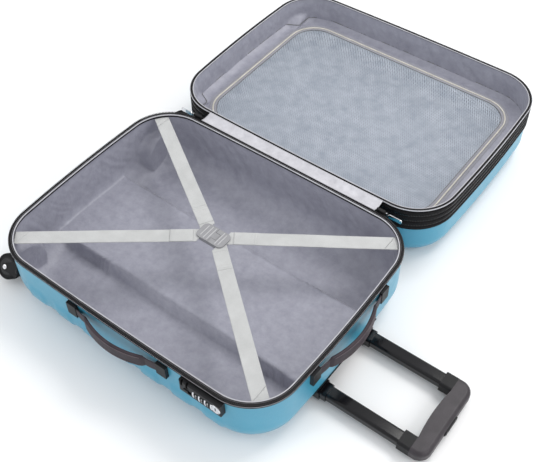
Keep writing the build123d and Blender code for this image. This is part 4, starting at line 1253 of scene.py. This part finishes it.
# ---------------------------------------------------------------- lock details
def make_lock_details():
    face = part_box("lock_body")[0][1]
    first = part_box("lock_dial_1")
    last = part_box("lock_dial_3")
    middle_z = (first[0][2] + first[1][2]) / 2
    start = first[0][0] - 2.4 * MM
    end = last[1][0] + 2.4 * MM
    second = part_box("lock_dial_2")
    xs = [start, (first[1][0] + second[0][0]) / 2, (second[1][0] + last[0][0]) / 2, end]
    points, faces = [], []
    for x in xs:
        for row in range(9):
            t = row / 8
            z = middle_z - 6.5 * MM + 13 * MM * t
            lift = 1.2 * MM * math.sin(math.pi * t)
            for dx, dy in ((-1.2, 0.2), (-0.8, -0.35), (0.8, -0.35), (1.2, 0.2)):
                points.append((x + dx * MM, face + dy * MM - lift * (1 if dy < 0 else 0), z))
        base = len(points) - 36
        for row in range(8):
            for k in range(3):
                a = base + row * 4 + k
                faces.append((a, a + 1, a + 5, a + 4))
    own(fix_normals(mesh_from("lock_chrome_bars", points, faces, CHROME)), "base", "chrome")
    key_low, key_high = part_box("lock_key_cylinder")
    centre = ((key_low[0] + key_high[0]) / 2, (key_low[2] + key_high[2]) / 2)
    radius = (key_high[0] - key_low[0]) / 2
    rings = []
    for grown, y in ((0.25, 0.2), (0.35, -0.5), (1.0, -0.75), (1.5, -0.3), (1.6, 0.2)):
        r = radius + grown * MM
        rings.append(np.array([
            (centre[0] + r * math.cos(a), face + y * MM, centre[1] + r * math.sin(a))
            for a in np.linspace(0, 2 * math.pi, 48, endpoint=False)
        ]))
    points, faces = loft(rings, False)
    own(fix_normals(mesh_from("lock_key_ring", points, faces, CHROME)), "base", "chrome")
    for number in (1, 2, 3):
        low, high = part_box(f"lock_dial_{number}")
        centre_x = (low[0] + high[0]) / 2
        axis_y, axis_z = (low[1] + high[1]) / 2, (low[2] + high[2]) / 2
        radius = (high[2] - low[2]) / 2
        pieces = []
        for digit in range(10):
            curve = bpy.data.curves.new(f"digit_{digit}", "FONT")
            curve.body = str(digit)
            curve.size = 4.2 * MM
            curve.extrude = 0.12 * MM
            curve.align_x = "CENTER"
            curve.align_y = "CENTER"
            holder = bpy.data.objects.new("digit", curve)
            bpy.context.scene.collection.objects.link(holder)
            angle = math.radians(36 * digit + 18)
            out = Vector((0, -math.cos(angle), math.sin(angle)))
            up = Vector((0, math.sin(angle), math.cos(angle)))
            right = Vector((1, 0, 0))
            place = Vector((centre_x, axis_y, axis_z)) + out * (radius - 0.02 * MM)
            holder.matrix_world = Matrix.Translation(place) @ Matrix((right, up, out)).transposed().to_4x4()
            bpy.context.view_layer.update()
            graph = bpy.context.evaluated_depsgraph_get()
            mesh = bpy.data.meshes.new_from_object(holder.evaluated_get(graph))
            mesh.transform(holder.matrix_world)
            pieces.append(mesh)
            bpy.data.objects.remove(holder)
        work = bmesh.new()
        for mesh in pieces:
            work.from_mesh(mesh)
        joined = bpy.data.meshes.new(f"dial_digits_{number}")
        work.to_mesh(joined)
        work.free()
        own(new_object(f"dial_digits_{number}", joined, PRINT, False), f"dial_{number}", "zip_tape")
        joined.materials.clear()
        joined.materials.append(PRINT)


def lathe(name, centre, axis, profile, material, sides=40):
    """Turned piece: profile is (radius, distance along the axis), in mm."""
    axis = np.array(axis, float) / np.linalg.norm(axis)
    helper = np.array([0, 0, 1.0]) if abs(axis[2]) < 0.9 else np.array([1.0, 0, 0])
    across = np.cross(axis, helper)
    across /= np.linalg.norm(across)
    up = np.cross(axis, across)
    rings = []
    for radius, distance in profile:
        rings.append([
            np.array(centre) + axis * distance * MM + radius * MM * (math.cos(a) * across + math.sin(a) * up)
            for a in np.linspace(0, 2 * math.pi, sides, endpoint=False)
        ])
    points, faces = capped(rings)
    obj = fix_normals(mesh_from(name, points, faces, material))
    sharp_by_angle(obj, 35)
    return obj


# Turned outlines in mm: radius, then distance along the axis.
HUB_RING = [(9.2, 6.3), (9.6, 7.0), (12.2, 7.15), (12.8, 6.6)]
AXLE_CAP = [(3.6, 10.6), (3.7, 11.7), (3.2, 12.1), (1.8, 12.3), (0.2, 12.35)]
SCREW_HEAD = [(2.4, -0.3), (2.4, 0.5), (1.9, 0.9), (0.3, 0.95)]


def make_wheel_details():
    """Hub rings and pale axle caps on both faces of each wheel."""
    axes = {j["child"]: j for j in frame["joints"] if j["name"].startswith("roll_")}
    for child, joint in axes.items():
        corner = child.replace("wheel_", "")
        low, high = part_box(f"spinner_hub_{corner}")
        centre = (np.array(low) + np.array(high)) / 2
        axis = np.array(joint["axis"], float)
        axis /= np.linalg.norm(axis)
        for number, way in ((1, 1), (2, -1)):
            rings = lathe(f"hub_ring_{corner}_{number}", centre, axis * way, HUB_RING, HUB_LIGHT)
            own(rings, child, "hub")
            cap = lathe(f"axle_cap_{corner}_{number}", centre, axis * way, AXLE_CAP, CHROME)
            own(cap, f"fork_{corner}", "steel")


def make_rivets():
    """Small fixing screws on the shell below the carry handle and beside the lock."""
    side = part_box("side_handle_grip")
    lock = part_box("lock_body")
    wall = -HALF_Y + 1.6 * MM
    for number, (x, z) in enumerate(
        ((side[1][0] + 24 * MM, side[0][2] - 9 * MM), (lock[1][0] - 6 * MM, lock[0][2] - 9 * MM)), start=1
    ):
        screw = lathe(f"fixing_screw_{number}", (x, wall, z), (0, -1, 0), SCREW_HEAD, STEEL, 24)
        own(screw, "base", "steel")


# ---------------------------------------------------------------- floor, light and camera
FLOOR_LEVEL = -0.5 * MM
FLOOR_TONE = 0.90
LAMP_AIM = (0, 0.19, 0.05)
LAMPS = (  # name, place, size, power, colour
    ("key", (0.5, 1.3, 2.2), 1.0, 26, (1.0, 0.99, 0.97)),
    ("fill", (-1.5, -1.3, 1.6), 1.8, 9, (0.96, 0.98, 1.0)),
    ("back", (1.9, 0.1, 1.5), 1.2, 12, (1.0, 1.0, 1.0)),
)
ROOM_TONE = (0.97, 0.98, 1.0)
ROOM_STRENGTH = 0.86
CAMERA_TURN, CAMERA_LIFT, CAMERA_ROLL = 38.02, 49.10, -1.11  # degrees
CAMERA_TARGET = (0.00483, 0.1364, 0)
CAMERA_DISTANCE = 1.3856
CAMERA_LENS = 58.95


def studio():
    floor_mesh = bpy.data.meshes.new("floor")
    floor_mesh.from_pydata([(-6, -6, 0), (6, -6, 0), (6, 6, 0), (-6, 6, 0)], [], [(0, 1, 2, 3)])
    paint, tree, shader = node_material("floor_paint")
    shader.inputs["Base Color"].default_value = (FLOOR_TONE, FLOOR_TONE, FLOOR_TONE, 1)
    shader.inputs["Roughness"].default_value = 0.9
    floor = new_object("floor", floor_mesh, paint, False)
    floor.location = (0, 0, FLOOR_LEVEL)
    for name, place, size, power, colour in LAMPS:
        light = bpy.data.lights.new(name, "AREA")
        light.size = size
        light.energy = power
        light.color = colour
        lamp = bpy.data.objects.new(name, light)
        bpy.context.scene.collection.objects.link(lamp)
        lamp.location = place
        aim = Vector(LAMP_AIM) - Vector(place)
        lamp.rotation_euler = aim.to_track_quat("-Z", "Y").to_euler()
    world = bpy.data.worlds.new("studio")
    world.use_nodes = True
    background = world.node_tree.nodes["Background"]
    background.inputs["Color"].default_value = (*ROOM_TONE, 1)
    background.inputs["Strength"].default_value = ROOM_STRENGTH
    bpy.context.scene.world = world
    bpy.context.scene.view_settings.view_transform = "Standard"


def camera():
    turn, lift, roll = (math.radians(a) for a in (CAMERA_TURN, CAMERA_LIFT, CAMERA_ROLL))
    back = Vector((math.sin(turn) * math.cos(lift), -math.cos(turn) * math.cos(lift), math.sin(lift)))
    place = Vector(CAMERA_TARGET) + back * CAMERA_DISTANCE
    right = (-back).cross(Vector((0, 0, 1))).normalized()
    up = right.cross(-back)
    across = right * math.cos(roll) + up * math.sin(roll)
    above = up * math.cos(roll) - right * math.sin(roll)
    data = bpy.data.cameras.new("camera")
    data.lens = CAMERA_LENS
    data.sensor_width = 36
    data.sensor_fit = "HORIZONTAL"
    data.clip_start = 0.05
    obj = bpy.data.objects.new("camera", data)
    bpy.context.scene.collection.objects.link(obj)
    turned = Matrix((across, above, back)).transposed()
    obj.matrix_world = Matrix.Translation(place) @ turned.to_4x4()
    bpy.context.scene.camera = obj


# ---------------------------------------------------------------- finishes of the CAD nodes
# Names are starts of node names. Nodes that a modelled piece stands for carry its cloth too.
FINISH = (
    (BLUE, ("back_shell", "front_shell")),
    (STEEL, ("back_swivel_pins", "front_swivel_pins", "handle_release_rods")),
    (BLACK, (
        "back_wheel_housings", "front_wheel_housings", "handle_bezel", "handle_tube_foot", "grip_collars",
        "handle_button", "carry_handle_pockets", "lock_body", "lock_dial", "lock_release", "zip_slider",
        "spinner_fork",
    )),
    (GLOSS, ("handle_outer_tubes", "handle_middle_tubes", "handle_inner_tubes")),
    (GRIP, ("handle_grip",)),
    (CHROME, ("lock_key_cylinder", "divider_pull", "divider_slider", "zip_pull")),
    (GREY, ("buckle_left", "buckle_right")),
    (HUB, ("spinner_hub",)),
    (TYRE, ("spinner_tyre",)),
    (SATIN, ("back_lining", "lid_lining", "divider_border", "hinge_strip")),
    (NETTING, ("divider_mesh",)),
    (BINDING, ("lid_rim_binding",)),
    (WEBBING_A, ("strap_left", "strap_anchors")),
    (WEBBING_B, ("strap_right",)),
    (STRAP, ("side_handle_tongues", "top_handle_tongues", "side_handle_grip", "top_handle_grip")),
    (TAPE, ("",)),
)
for node in frame["nodes"]:
    finish_cad(node, next(material for material, names in FINISH if node.startswith(names)))


# ---------------------------------------------------------------- build
make_shells()
make_back_rim()
make_lid_rim()
make_linings()
make_divider()
make_hinge()
make_straps()
make_buckle_ridges()
make_carry_handles()
make_lock_details()
make_wheel_details()
make_rivets()

studio()
camera()
